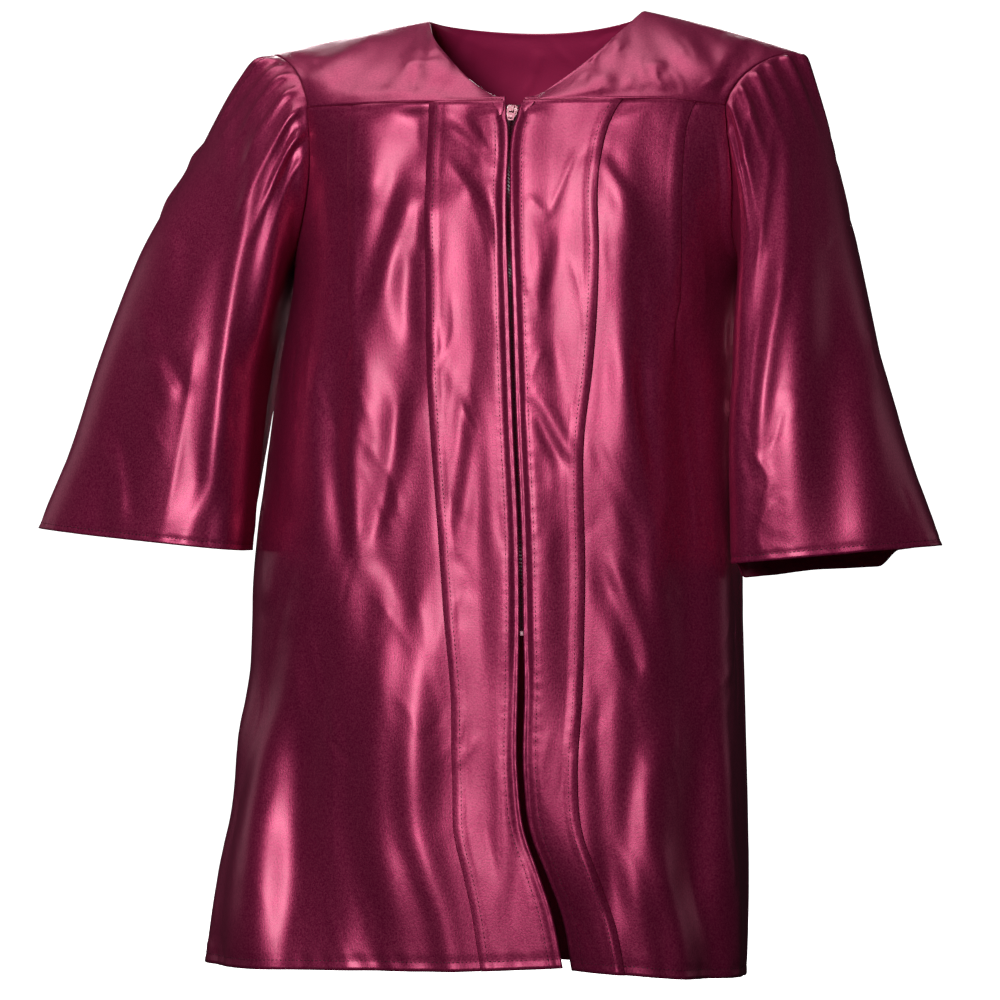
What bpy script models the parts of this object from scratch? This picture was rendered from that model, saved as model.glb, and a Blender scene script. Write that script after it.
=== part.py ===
"""A choir robe as it hangs when worn, with no wearer inside: yokes, tucked fronts and bell sleeves.

Metres, +Z up. The front faces -Y and the wearer's right sleeve is at -X. The origin lies midway between the
shoulders, where the yokes rest on the wearer, and "drop" is a distance below it.
"""

import math
from collections import namedtuple

import bmesh
import bpy
import numpy as np
from mathutils import Matrix, Vector

LEFT, RIGHT = -1, 1  # as seen from the front: LEFT is -X, RIGHT is +X

# Cloth
WALL = 0.0010  # thickness of every cloth wall
SEAM = 0.0003  # gap between the walls of two pieces that are sewn together
RIDGE_GAP = 0.0009  # between the front and back yokes at the shoulder seam, where they bend away
SQUARE = 2.4  # exponent of the body's outline: 2 is an ellipse, more is squarer

# Heights of the seams, as drops below the shoulders
FRONT_SEAM = 0.053
BACK_SEAM = 0.075
RIGHT_SEAM_FALL = 0.005  # the front seam sinks this much towards the right armhole,
SEAM_FALL_START = 0.110  # from this distance off the zip
SEAM_FALL_SPAN = 0.070  # to this much further out,
SEAM_FALL_FADE = 0.050  # and the fall is gone this far below the seam
ARMPIT = 0.1775
HEM = 0.722
HEM_LINE_STARTS = 0.500  # below this drop the panels' rows bend towards the hem's own line
PANEL_TOP_GAP = 0.0009  # from a yoke's lower edge to the top edge of the panel below
SIDE_CALM = 0.060  # soft folds die away over this distance from a side seam or armhole
ZIP_CALM = (0.012, 0.042)  # and between these distances from the zip

# Shoulders and neck
NECK_HALF_WIDTH = 0.086
NECK_DROP = {LEFT: -0.0195, RIGHT: -0.0240}  # the neck's side points stand above the origin
TIP_HALF_WIDTH = {LEFT: 0.2140, RIGHT: 0.2065}
TIP_DROP = {LEFT: 0.0045, RIGHT: 0.0110}
SHOULDER_RISE = {LEFT: 0.0008, RIGHT: 0.0018}  # how far the shoulder's line arches above a straight one
BACK_NECK_DEPTH = 0.058
BACK_NECK_DROP = -0.0140
YOKE_CORNER = {LEFT: 0.0097, RIGHT: 0.0076}  # from the zip's centre to the V's lower ends, along the seam
YOKE_SHOULDER = 0.082  # distance along the seam of the line that runs up to the neck's side point
YOKE_COLUMNS = 16
YOKE_ROWS = 7
YOKE_NECK_BEND = 0.25  # how round the front yoke is at the neck's side point: 1 would be a quarter circle
YOKE_TIP_BEND = 0.65  # how round both yokes are at the shoulder tips
BACK_NECK_BEND = 0.45
BACK_NECK_SHARE = 0.42  # share of the back yoke's half width that the neck takes
ARMHOLE_TOP = 0.060  # below this drop the armhole's edges draw in towards the armpit
ARMHOLE_FRONT = 0.069  # how far the armhole reaches forward and back of the shoulders
ARMHOLE_BACK = 0.058
ARMHOLE_CURVE = 2.7

# Tucks and pleats, folded away from the zip
LAYER = 0.0017  # from one folded layer to the next, middle to middle
TUCK_FLAP = 0.0055
PLEAT_FLAP = 0.0060
FOLD_TIP = 0.0011  # length of the turn at a folded edge
PLEAT_LOOSE = 0.205  # below this drop the short pleat's flap shrinks,
PLEAT_SHORT = 0.226  # here only its turns are left,
PLEAT_STEP = 0.240  # here a step,
PLEAT_FLAT = 0.280  # and here it lies flat
FOLD_COLUMNS = (  # across a fold: layer and distance from the stitch line, when short, as a step and flat
    ((0.8, -0.0060), (0.8, -0.0080), (0.0, -0.0120)),
    ((1.0, -0.0020), (1.0, -0.0040), (0.0, -0.0080)),
    ((1.0, 0.0004), (1.0, -0.0009), (0.0, -0.0040)),
    ((0.5, 0.0013), (0.6, 0.0001), (0.0, -0.0010)),
    ((0.05, 0.0010), (0.2, 0.0005), (0.0, 0.0020)),
    ((-0.05, 0.0002), (-0.2, 0.0007), (0.0, 0.0050)),
    ((-0.5, -0.0002), (-0.6, 0.0011), (0.0, 0.0080)),
    ((-1.0, 0.0007), (-1.0, 0.0021), (0.0, 0.0120)),
    ((-0.8, 0.0050), (-0.8, 0.0080), (0.0, 0.0160)),
)

# Zip and pull tab
CHAIN_HALF_WIDTH = 0.0022
CHAIN_THICKNESS = 0.0022
TAPE_WIDTH = 0.0125
TAPE_THICKNESS = 0.0008
CLEAR = 0.0003  # between the chain and the parts around it
ZIP_TOP = 0.0572
ZIP_END = 0.4600
CHAIN_PARTING = 0.0016  # how far each half of the chain stands off the middle at the top of the slider
STOP_SIZE = (0.0046, CHAIN_THICKNESS, 0.0036)
STOP_BELOW = 0.0022  # from the chain's end to the middle of the stop
SLIDER_LENGTH = 0.0096
PLATE = 0.0011  # thickness of the slider's two plates
POST_WIDTH = 0.0022
POST_HEIGHT = 0.0020
POST_BELOW = 0.0014  # from the top of the slider to the middle of the post
BRIDGE_HALF_WIDTH = 0.0018
TAB_THICKNESS = 0.0009
BAR_OUT = 0.00095  # from the slider's face to the middle of the tab's top bar
BAR_HEIGHT = 0.0016  # of that bar, above the slider's middle
SLIDER_OUTLINE = (  # half of a plate, from its top to its foot: distance from the middle, height
    (0.0017, 0.0048), (0.0031, 0.0044), (0.0039, 0.0034), (0.0042, 0.0018),
    (0.0040, -0.0014), (0.0035, -0.0036), (0.0031, -0.0048),
)
BRIDGE_OUTLINE = (  # side view of the bridge: distance out from the slider's face, height
    (-0.0006, 0.0044), (0.0018, 0.0044), (0.0027, 0.0036), (0.0027, -0.0004), (0.0019, -0.0012),
    (-0.0006, -0.0012), (-0.0006, -0.0003), (0.0019, -0.0003), (0.0019, 0.0034), (-0.0006, 0.0034),
)
TAB_OUTLINES = (  # the tab's edge, the hole round the bridge, and the slot; heights from the bar's middle
    (
        (-0.0025, 0.00045), (0.0025, 0.00045), (0.0031, -0.0001), (0.0031, -0.0056), (0.0023, -0.0084),
        (0.0017, -0.0090), (-0.0017, -0.0090), (-0.0023, -0.0084), (-0.0031, -0.0056), (-0.0031, -0.0001),
    ),
    ((-0.0021, -0.00045), (-0.0021, -0.0034), (0.0021, -0.0034), (0.0021, -0.00045)),
    ((-0.0016, -0.0069), (-0.0015, -0.0079), (0.0015, -0.0079), (0.0016, -0.0069)),
)

Level = namedtuple("Level", "drop centre half_width front back")
BODY = (  # level outlines of the body
    Level(0.053, -0.0030, 0.2040, 0.101, 0.086),
    Level(0.115, -0.0010, 0.1945, 0.108, 0.090),
    Level(0.1775, -0.0120, 0.1800, 0.112, 0.092),
    Level(0.280, -0.0235, 0.1860, 0.115, 0.095),
    Level(0.400, -0.0305, 0.1930, 0.118, 0.100),
    Level(0.530, -0.0335, 0.1990, 0.122, 0.105),
    Level(0.610, -0.0360, 0.2035, 0.125, 0.108),
    Level(0.655, -0.0420, 0.2100, 0.128, 0.111),
    Level(0.735, -0.0505, 0.2165, 0.132, 0.115),
)

ZipLevel = namedtuple("ZipLevel", "drop x half_gap")
ZIP = (  # the zip's centre line, and half the gap between the panels' edges
    ZipLevel(0.053, 0.0039, 0.0074),
    ZipLevel(0.059, 0.0024, 0.0051),
    ZipLevel(0.067, 0.0018, 0.0041),
    ZipLevel(0.073, 0.0014, 0.0022),
    ZipLevel(0.081, 0.0010, 0.0012),
    ZipLevel(0.120, 0.0005, 0.0012),
    ZipLevel(0.215, 0.0037, 0.0012),
    ZipLevel(0.302, 0.0070, 0.0012),
    ZipLevel(0.387, 0.0113, 0.0012),
    ZipLevel(0.461, 0.0128, 0.0016),
    ZipLevel(0.500, 0.0130, 0.0024),
    ZipLevel(0.574, 0.0130, 0.0022),
    ZipLevel(0.615, 0.0180, 0.0022),
    ZipLevel(0.648, 0.0300, 0.0030),
    ZipLevel(0.677, 0.0405, 0.0040),
    ZipLevel(0.722, 0.0500, 0.0040),
)

FoldLine = namedtuple("FoldLine", "drop left_tuck right_tuck left_pleat right_pleat")
FOLD_LINES = (  # distances of the tucks' and pleats' stitch lines from the zip
    FoldLine(0.053, 0.062, 0.078, 0.126, 0.134),
    FoldLine(0.070, 0.061, 0.071, 0.126, 0.130),
    FoldLine(0.100, 0.061, 0.065, 0.126, 0.128),
    FoldLine(0.170, 0.061, 0.063, 0.127, 0.128),
    FoldLine(0.260, 0.062, 0.055, 0.130, 0.126),
    FoldLine(0.310, 0.061, 0.047, 0.133, 0.124),
    FoldLine(0.430, 0.056, 0.043, 0.139, 0.125),
    FoldLine(0.530, 0.048, 0.040, 0.143, 0.125),
    FoldLine(0.590, 0.048, 0.037, 0.146, 0.125),
    FoldLine(0.640, 0.054, 0.037, 0.150, 0.125),
    FoldLine(0.690, 0.060, 0.038, 0.155, 0.126),
    FoldLine(0.722, 0.061, 0.038, 0.157, 0.126),
)

SoftFold = namedtuple("SoftFold", "top bottom start finish half_width height")
SOFT_FOLDS = {  # large folds: drops of the ends, distances from the zip at the ends, and height
    LEFT: (
        SoftFold(0.060, 0.330, 0.108, 0.132, 0.022, 0.0060),
        SoftFold(0.120, 0.300, 0.082, 0.088, 0.016, -0.0060),
        SoftFold(0.260, 0.730, 0.140, 0.245, 0.028, 0.0090),
        SoftFold(0.300, 0.730, 0.100, 0.160, 0.024, -0.0080),
        SoftFold(0.400, 0.730, 0.185, 0.320, 0.026, -0.0080),
        SoftFold(0.480, 0.730, 0.080, 0.095, 0.020, 0.0070),
    ),
    RIGHT: (
        SoftFold(0.080, 0.420, 0.092, 0.078, 0.014, 0.0050),
        SoftFold(0.150, 0.730, 0.112, 0.088, 0.016, 0.0080),
        SoftFold(0.140, 0.730, 0.142, 0.124, 0.020, -0.0085),
        SoftFold(0.240, 0.730, 0.176, 0.166, 0.020, 0.0075),
    ),
}

BACK_WAVES = 8
BACK_GATHERED = 0.150  # the gathers reach this far from the back's middle
BACK_WAVE_HEIGHT = 0.0042
BACK_WAVE_LEFT = 0.15  # share of that height that is left
BACK_WAVE_FADE = (0.120, 0.470)  # between these drops
BACK_SPREAD = 0.12  # how much wider the folds of the back stand at the hem
BACK_FOLDS = (  # distances from the back's middle, positive towards LEFT
    SoftFold(0.110, 0.735, -0.105, -0.150, 0.030, 0.0080),
    SoftFold(0.120, 0.735, -0.040, -0.060, 0.024, -0.0070),
    SoftFold(0.110, 0.735, 0.020, 0.012, 0.028, 0.0085),
    SoftFold(0.120, 0.735, 0.078, 0.085, 0.024, -0.0070),
    SoftFold(0.130, 0.735, 0.125, 0.165, 0.028, 0.0080),
)

HemPoint = namedtuple("HemPoint", "distance left right")
HEM_DROPS = (  # the hem's drop by distance from the zip
    HemPoint(0.000, 0.7165, 0.7215),
    HemPoint(0.040, 0.7185, 0.7225),
    HemPoint(0.090, 0.7205, 0.7270),
    HemPoint(0.160, 0.7215, 0.7310),
    HemPoint(0.340, 0.7270, 0.7325),
)
BACK_HEM = 0.7345

Turning = namedtuple("Turning", "drop depth")
TURNED_IN = (  # how far the right front's zip edge swings back towards the hem
    Turning(0.500, 0.000),
    Turning(0.580, 0.003),
    Turning(0.640, 0.014),
    Turning(0.680, 0.026),
    Turning(0.722, 0.036),
)

NeckPoint = namedtuple("NeckPoint", "x y drop")
NECKLINE = {  # each side of the V neck, from the front seam up to the shoulder
    LEFT: (
        NeckPoint(0.0058, -0.1002, 0.0518),
        NeckPoint(0.0116, -0.0940, 0.0500),
        NeckPoint(0.0367, -0.0790, 0.0343),
        NeckPoint(0.0596, -0.0570, 0.0130),
        NeckPoint(0.0760, -0.0320, -0.0045),
        NeckPoint(0.0860, 0.0000, -0.0195),
    ),
    RIGHT: (
        NeckPoint(0.0115, -0.1002, 0.0518),
        NeckPoint(0.0187, -0.0930, 0.0496),
        NeckPoint(0.0360, -0.0785, 0.0365),
        NeckPoint(0.0577, -0.0580, 0.0158),
        NeckPoint(0.0755, -0.0320, -0.0065),
        NeckPoint(0.0860, 0.0000, -0.0240),
    ),
}

CornerRow = namedtuple("CornerRow", "drop left_near left_far right_near right_far")
CORNERS = (  # edges of the turned corners beside the top of the zip, by distance from its centre
    CornerRow(0.0547, 0.0078, 0.0170, 0.0086, 0.0166),
    CornerRow(0.0575, 0.0068, 0.0150, 0.0078, 0.0154),
    CornerRow(0.0600, 0.0064, 0.0132, 0.0073, 0.0140),
    CornerRow(0.0626, 0.0069, 0.0114, 0.0088, 0.0132),
    CornerRow(0.0654, 0.0086, 0.0100, 0.0112, 0.0124),
)

SLEEVE_COLUMNS = "along outer_x outer_y outer_drop inner_x inner_y inner_drop front back"
SleeveRing = namedtuple("SleeveRing", SLEEVE_COLUMNS)
SLEEVES = {  # the upper and under edges of each sleeve, and how far its front and back stand off them
    LEFT: (
        SleeveRing(0.00, 0.2140, 0.000, 0.0045, 0.1920, 0.000, 0.1775, 0.069, 0.058),
        SleeveRing(0.04, 0.2270, -0.001, 0.0080, 0.1950, -0.002, 0.1860, 0.072, 0.060),
        SleeveRing(0.10, 0.2410, -0.002, 0.0240, 0.1975, -0.006, 0.1990, 0.075, 0.062),
        SleeveRing(0.25, 0.2765, -0.010, 0.0890, 0.2020, -0.014, 0.2320, 0.080, 0.066),
        SleeveRing(0.45, 0.3160, -0.022, 0.1650, 0.2070, -0.026, 0.2760, 0.078, 0.066),
        SleeveRing(0.65, 0.3450, -0.034, 0.2450, 0.2105, -0.036, 0.3220, 0.072, 0.062),
        SleeveRing(0.85, 0.3690, -0.044, 0.3230, 0.2145, -0.046, 0.3670, 0.064, 0.058),
        SleeveRing(1.00, 0.3930, -0.050, 0.3825, 0.2175, -0.052, 0.4000, 0.060, 0.056),
    ),
    RIGHT: (
        SleeveRing(0.00, 0.2065, 0.000, 0.0110, 0.1680, 0.000, 0.1775, 0.069, 0.058),
        SleeveRing(0.04, 0.2115, -0.001, 0.0150, 0.1710, -0.001, 0.1860, 0.073, 0.060),
        SleeveRing(0.10, 0.2195, -0.003, 0.0310, 0.1730, -0.006, 0.1990, 0.076, 0.062),
        SleeveRing(0.25, 0.2395, -0.012, 0.0920, 0.1725, -0.026, 0.2340, 0.080, 0.066),
        SleeveRing(0.45, 0.2595, -0.026, 0.1720, 0.1700, -0.042, 0.2800, 0.080, 0.068),
        SleeveRing(0.65, 0.2795, -0.040, 0.2550, 0.1690, -0.050, 0.3260, 0.076, 0.066),
        SleeveRing(0.85, 0.3045, -0.052, 0.3350, 0.1695, -0.056, 0.3730, 0.068, 0.062),
        SleeveRing(1.00, 0.3275, -0.060, 0.3950, 0.1700, -0.060, 0.4090, 0.062, 0.060),
    ),
}
SLEEVE_ROWS = (0.0, 0.025, 0.07, 0.13, 0.21, 0.31, 0.42, 0.54, 0.66, 0.78, 0.89, 1.0)
SLEEVE_SQUARE = 2.2
SLEEVE_CLEARANCE = 0.0045  # from the middle of the body's wall to the middle of the sleeve's,
ARMHOLE_CLEARANCE = 0.0015  # and at the armhole itself
ARMHOLE_STEP = 4 * SEAM  # the sleeve's first edge stands this far out from the armhole's edge,
ARMPIT_STEP = 2 * SEAM  # and this much more under the arm
ARMHOLE_SHAPE = 0.45  # share of the sleeve over which it leaves the armhole's own shape
UNDER_COLUMNS = 15  # columns of the part that isn't gathered
CUFF_FALL = {LEFT: 0.000, RIGHT: 0.0118}  # the back of the cuff hangs this much lower
GATHERS = 10
GATHER_HALF_SPAN = 1.75  # the gathers run this far round the armhole from the top, each way, in radians
GATHER_HEIGHT = 0.0034
GATHER_LENGTH = 0.30  # share of the sleeve over which they die away

SleeveFold = namedtuple("SleeveFold", "start finish first last half_width height")
SLEEVE_FOLDS = {  # angles round the sleeve at the two ends, from its upper edge over the front
    LEFT: (
        SleeveFold(0.60, 2.05, 0.12, 1.05, 0.26, 0.0080),
        SleeveFold(1.15, 1.55, 0.25, 1.05, 0.24, -0.0090),
        SleeveFold(0.70, 1.00, 0.35, 1.05, 0.24, 0.0075),
        SleeveFold(2.30, 2.60, 0.20, 1.05, 0.24, -0.0060),
        SleeveFold(4.30, 4.55, 0.20, 1.05, 0.34, 0.0090),
        SleeveFold(5.00, 5.30, 0.25, 1.05, 0.30, -0.0080),
    ),
    RIGHT: (
        SleeveFold(1.30, 1.95, 0.12, 1.05, 0.24, 0.0080),
        SleeveFold(0.95, 1.45, 0.22, 1.05, 0.24, -0.0090),
        SleeveFold(0.60, 0.90, 0.30, 1.05, 0.26, 0.0080),
        SleeveFold(2.20, 2.45, 0.20, 1.05, 0.22, -0.0060),
        SleeveFold(4.20, 4.40, 0.20, 1.05, 0.34, 0.0090),
        SleeveFold(4.95, 5.20, 0.25, 1.05, 0.30, -0.0080),
    ),
}

FRONT_ROWS = (
    FRONT_SEAM + PANEL_TOP_GAP, 0.067, 0.082, 0.106, 0.132, 0.154, 0.1695, ARMPIT,
    PLEAT_LOOSE, PLEAT_SHORT, PLEAT_STEP, PLEAT_FLAT, 0.320, 0.360, 0.400, 0.440, 0.480,
    0.525, 0.570, 0.615, 0.650, 0.685, HEM,
)
BACK_ROWS = (
    BACK_SEAM + PANEL_TOP_GAP, 0.092, 0.112, 0.134, 0.154, 0.1695, ARMPIT,
    0.210, 0.250, 0.300, 0.350, 0.400, 0.450, 0.500, 0.560, 0.620, 0.670, HEM,
)


def smooth(share):
    share = min(1.0, max(0.0, share))
    return share * share * (3 - 2 * share)


def mix(first, last, share):
    return first + (last - first) * share


def read(table, column, at):
    """A named column of a table, read at a value of its first column along one smooth curve."""
    keys = np.array([row[0] for row in table])
    values = np.array([getattr(row, column) for row in table])
    slopes = np.gradient(values, keys)
    at = min(max(at, keys[0]), keys[-1])
    low = min(max(int(np.searchsorted(keys, at)) - 1, 0), len(keys) - 2)
    span = keys[low + 1] - keys[low]
    part = (at - keys[low]) / span
    rise = slopes[low] * part * (1 - part) ** 2 + slopes[low + 1] * part**2 * (part - 1)
    ends = values[low] * (1 + 2 * part) * (1 - part) ** 2 + values[low + 1] * part**2 * (3 - 2 * part)
    return float(ends + span * rise)


def bump(offset, half_width):
    """A soft hump of height 1 that has died away two half widths from its middle."""
    return math.exp(-1.4 * (offset / half_width) ** 2)


def ring(drop, angles):
    """(x, y) points of the body's level outline; angle 0 is the front's middle and it grows towards +X."""
    side, ahead = np.sin(angles), np.cos(angles)
    across = np.sign(side) * np.abs(side) ** (2 / SQUARE)
    forward = np.sign(ahead) * np.abs(ahead) ** (2 / SQUARE)
    depth = np.where(ahead > 0, read(BODY, "front", drop), read(BODY, "back", drop))
    x = read(BODY, "centre", drop) + read(BODY, "half_width", drop) * across
    return np.stack([x, -depth * forward], axis=-1)


class Section:
    """A level stretch of the body's outline, read by distance from its start and lifted off it."""

    def __init__(self, drop, start, end):
        self.drop = drop
        self.outward = 1 if end > start else -1
        self.points = ring(drop, np.linspace(start, end, 361))
        steps = np.linalg.norm(np.diff(self.points, axis=0), axis=1)
        self.reach = np.concatenate([[0.0], np.cumsum(steps)])
        self.length = float(self.reach[-1])

    def flat(self, distance):
        return np.array([np.interp(distance, self.reach, self.points[:, axis]) for axis in (0, 1)])

    def at(self, distance, lift=0.0, drop=None):
        here = self.flat(distance)
        along = self.flat(distance + 0.003) - self.flat(distance - 0.003)
        normal = np.array([along[1], -along[0]]) * self.outward / np.linalg.norm(along)
        x, y = here + normal * lift
        return Vector((x, y, -(self.drop if drop is None else drop)))


def zip_angle(drop):
    across = (read(ZIP, "x", drop) - read(BODY, "centre", drop)) / read(BODY, "half_width", drop)
    return math.asin(math.copysign(abs(across) ** (SQUARE / 2), across))


def armhole_reach(drop, reach):
    """How far the armhole's edge stands forward or back of the shoulders at a drop."""
    if drop <= ARMHOLE_TOP:
        return reach
    share = min(1.0, (drop - ARMHOLE_TOP) / (ARMPIT - ARMHOLE_TOP))
    return reach * (1 - share**ARMHOLE_CURVE) ** (1 / ARMHOLE_CURVE)


def front_edge_angle(side, drop):
    """Where a front panel ends: at the armhole above the armpit, and at the side seam below it."""
    if drop >= ARMPIT:
        return side * math.pi / 2
    forward = armhole_reach(drop, ARMHOLE_FRONT) / read(BODY, "front", drop)
    return side * math.acos(forward ** (SQUARE / 2))


def back_edge_angle(side, drop):
    if drop >= ARMPIT:
        return side * math.pi / 2
    backward = armhole_reach(drop, ARMHOLE_BACK) / read(BODY, "back", drop)
    return side * (math.pi - math.acos(backward ** (SQUARE / 2)))


def front_section(side, drop):
    return Section(drop, zip_angle(drop), front_edge_angle(side, drop))


def soft_lift(folds, distance, drop):
    total = 0.0
    for fold in folds:
        share = (drop - fold.top) / (fold.bottom - fold.top)
        if share <= 0:
            continue
        middle = mix(fold.start, fold.finish, share)
        total += fold.height * smooth(share / 0.35) * bump(distance - middle, fold.half_width)
    return total


def front_lift(side, distance, drop, length=1.0):
    """Soft folds of a front panel, and on the right the zip edge that swings back near the hem."""
    lift = soft_lift(SOFT_FOLDS[side], distance, drop)
    calm = smooth((distance - ZIP_CALM[0]) / (ZIP_CALM[1] - ZIP_CALM[0]))
    lift *= calm if drop < ZIP_END else mix(1.0, calm, 0.6)
    lift *= smooth((length - distance) / SIDE_CALM)
    if side == RIGHT:
        tuck = read(FOLD_LINES, "right_tuck", drop)
        if distance < tuck:
            lift -= read(TURNED_IN, "depth", drop) * (1 - distance / tuck) ** 1.2
    return lift


def seam_fall(side, distance, drop):
    """Extra drop of the front seam towards the right armhole."""
    if side == LEFT:
        return 0.0
    out = smooth((distance - SEAM_FALL_START) / SEAM_FALL_SPAN)
    return RIGHT_SEAM_FALL * out * (1 - smooth((drop - FRONT_SEAM) / SEAM_FALL_FADE))


def hem_share(drop):
    return smooth((drop - HEM_LINE_STARTS) / (HEM - HEM_LINE_STARTS))


def front_drop(side, distance, drop):
    column = "left" if side == LEFT else "right"
    hem = read(HEM_DROPS, column, distance) - HEM
    return drop + seam_fall(side, distance, drop) + hem * hem_share(drop)


def folded(line, flap, drop=None):
    """(distance, lift) of the columns through one fold that points away from the zip.

    The top layer comes from the zip's side, turns at the flap's edge, goes back to the stitch line, turns
    again and carries on outwards underneath. With a drop, the fold opens below the end of its stitching.
    """
    stitched = (
        (0.8, FOLD_COLUMNS[0][0][1]), (1.0, 0.0), (1.0, flap - FOLD_TIP), (0.5, flap), (0.0, flap - FOLD_TIP),
        (0.0, FOLD_TIP), (-0.5, 0.0), (-1.0, FOLD_TIP), (-0.8, flap + FOLD_COLUMNS[-1][0][1]),
    )
    levels = (PLEAT_LOOSE, PLEAT_SHORT, PLEAT_STEP, PLEAT_FLAT)
    places = []
    for first, later in zip(stitched, FOLD_COLUMNS):
        states = (first, *later)
        layer, distance = first
        if drop is not None:
            layer, distance = (float(np.interp(drop, levels, [state[i] for state in states])) for i in (0, 1))
        places.append((line + distance, LAYER * layer))
    return places


def front_columns(side, drop, length):
    """(distance, fold lift) of every column of a front panel at one level."""
    name = "left" if side == LEFT else "right"
    tuck = read(FOLD_LINES, name + "_tuck", drop)
    pleat = read(FOLD_LINES, name + "_pleat", drop)
    start = read(ZIP, "half_gap", drop)
    tuck_part = folded(tuck, TUCK_FLAP)
    pleat_part = folded(pleat, PLEAT_FLAP, drop)
    columns = [(mix(start, tuck_part[0][0], share), 0.0) for share in (0.0, 0.25, 0.5, 0.75)]
    columns += tuck_part
    columns += [(mix(tuck_part[-1][0], pleat_part[0][0], share), 0.0) for share in (0.25, 0.5, 0.75)]
    columns += pleat_part
    end = length - SEAM / 2
    columns += [(mix(pleat_part[-1][0], end, part / 7), 0.0) for part in range(1, 8)]
    return columns


def front_grid(side):
    grid = []
    for drop in FRONT_ROWS:
        section = front_section(side, drop)
        row = []
        for distance, lift in front_columns(side, drop, section.length):
            total = lift + front_lift(side, distance, drop, section.length)
            row.append(section.at(distance, total, front_drop(side, distance, drop)))
        grid.append(row)
    return grid


def back_section(drop):
    start = back_edge_angle(RIGHT, drop)
    end = back_edge_angle(LEFT, drop) + 2 * math.pi
    return Section(drop, start, end)


def back_lift(place, half_length, drop):
    """Gathers under the back yoke that run out into a few large folds; place is from the back's middle."""
    wave = math.cos(math.pi * BACK_WAVES * place / BACK_GATHERED)
    side_fade = smooth((half_length - abs(place)) / SIDE_CALM)
    gathered = smooth((BACK_GATHERED - abs(place)) / 0.02)
    sewn = smooth((drop - BACK_SEAM) / 0.03)
    faded = smooth((drop - BACK_WAVE_FADE[0]) / (BACK_WAVE_FADE[1] - BACK_WAVE_FADE[0]))
    fade = mix(1.0, BACK_WAVE_LEFT, faded)
    return side_fade * (BACK_WAVE_HEIGHT * wave * gathered * sewn * fade + soft_lift(BACK_FOLDS, place, drop))


def back_grid():
    """The inner columns keep their places below the yoke, and the outer four follow the armholes."""
    inner, outer = 2 * BACK_WAVES, 4
    grid = []
    for drop in BACK_ROWS:
        section = back_section(drop)
        half = section.length / 2
        spread = 1 + BACK_SPREAD * smooth((drop - BACK_WAVE_FADE[0]) / (HEM - BACK_WAVE_FADE[0]))
        places = [BACK_GATHERED * spread * column / inner for column in range(-inner, inner + 1)]
        rest = [mix(BACK_GATHERED * spread, half - SEAM / 2, part / outer) for part in range(1, outer + 1)]
        places = [-place for place in reversed(rest)] + places + rest
        row = []
        for place in places:
            share = place / half
            side_drop = mix(HEM_DROPS[-1].right, HEM_DROPS[-1].left, (share + 1) / 2)
            hem = mix(side_drop, BACK_HEM, smooth(1 - share * share)) - HEM
            level = drop + hem * hem_share(drop)
            row.append(section.at(half + place, back_lift(place / spread, half, drop), level))
        grid.append(row)
    return grid


def shoulder(side, x):
    """A point of the shoulder ridge, on the yokes' upper seam."""
    share = (x - NECK_HALF_WIDTH) / (TIP_HALF_WIDTH[side] - NECK_HALF_WIDTH)
    arch = SHOULDER_RISE[side] * 4 * share * (1 - share)
    return Vector((side * x, 0.0, arch - mix(NECK_DROP[side], TIP_DROP[side], share)))


def over_shoulder(seam_point, top_point, share, roundness):
    """From a yoke's lower seam (share 0) up to its upper edge (share 1), steep first and then level."""
    turn = share * math.pi / 2
    level = mix(share, 1 - math.cos(turn), roundness)
    rise = mix(share, math.sin(turn), roundness)
    x = mix(seam_point.x, top_point.x, level)
    y = mix(seam_point.y, top_point.y, level)
    return Vector((x, y, mix(seam_point.z, top_point.z, rise)))


def yoke_ends(side, column):
    """The lower and upper end of one line of a front yoke, and how round it is between them."""
    neck_columns = YOKE_COLUMNS // 2
    section = front_section(side, FRONT_SEAM)
    if column <= neck_columns:
        share = column / neck_columns
        x = mix(NECKLINE[side][0].x, NECK_HALF_WIDTH, share)
        distance = mix(YOKE_CORNER[side], YOKE_SHOULDER, share)
        y = read(NECKLINE[side], "y", x) - RIDGE_GAP / 2 * share
        top = Vector((side * x, y, -read(NECKLINE[side], "drop", x)))
        roundness = mix(0.0, YOKE_NECK_BEND, share)
    else:
        share = (column - neck_columns) / (YOKE_COLUMNS - neck_columns)
        distance = mix(YOKE_SHOULDER, section.length, share)
        top = shoulder(side, mix(NECK_HALF_WIDTH, TIP_HALF_WIDTH[side], share))
        top.y -= RIDGE_GAP / 2
        roundness = mix(YOKE_NECK_BEND, YOKE_TIP_BEND, share)
    low = section.at(distance, 0.0, FRONT_SEAM + seam_fall(side, distance, FRONT_SEAM))
    return low, top, roundness


def yoke_grid(lines):
    shares = [row / YOKE_ROWS for row in range(YOKE_ROWS + 1)]
    return [[over_shoulder(low, top, share, bend) for low, top, bend in lines] for share in shares]


def yoke_front_grid(side):
    return yoke_grid([yoke_ends(side, column) for column in range(YOKE_COLUMNS + 1)])


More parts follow.
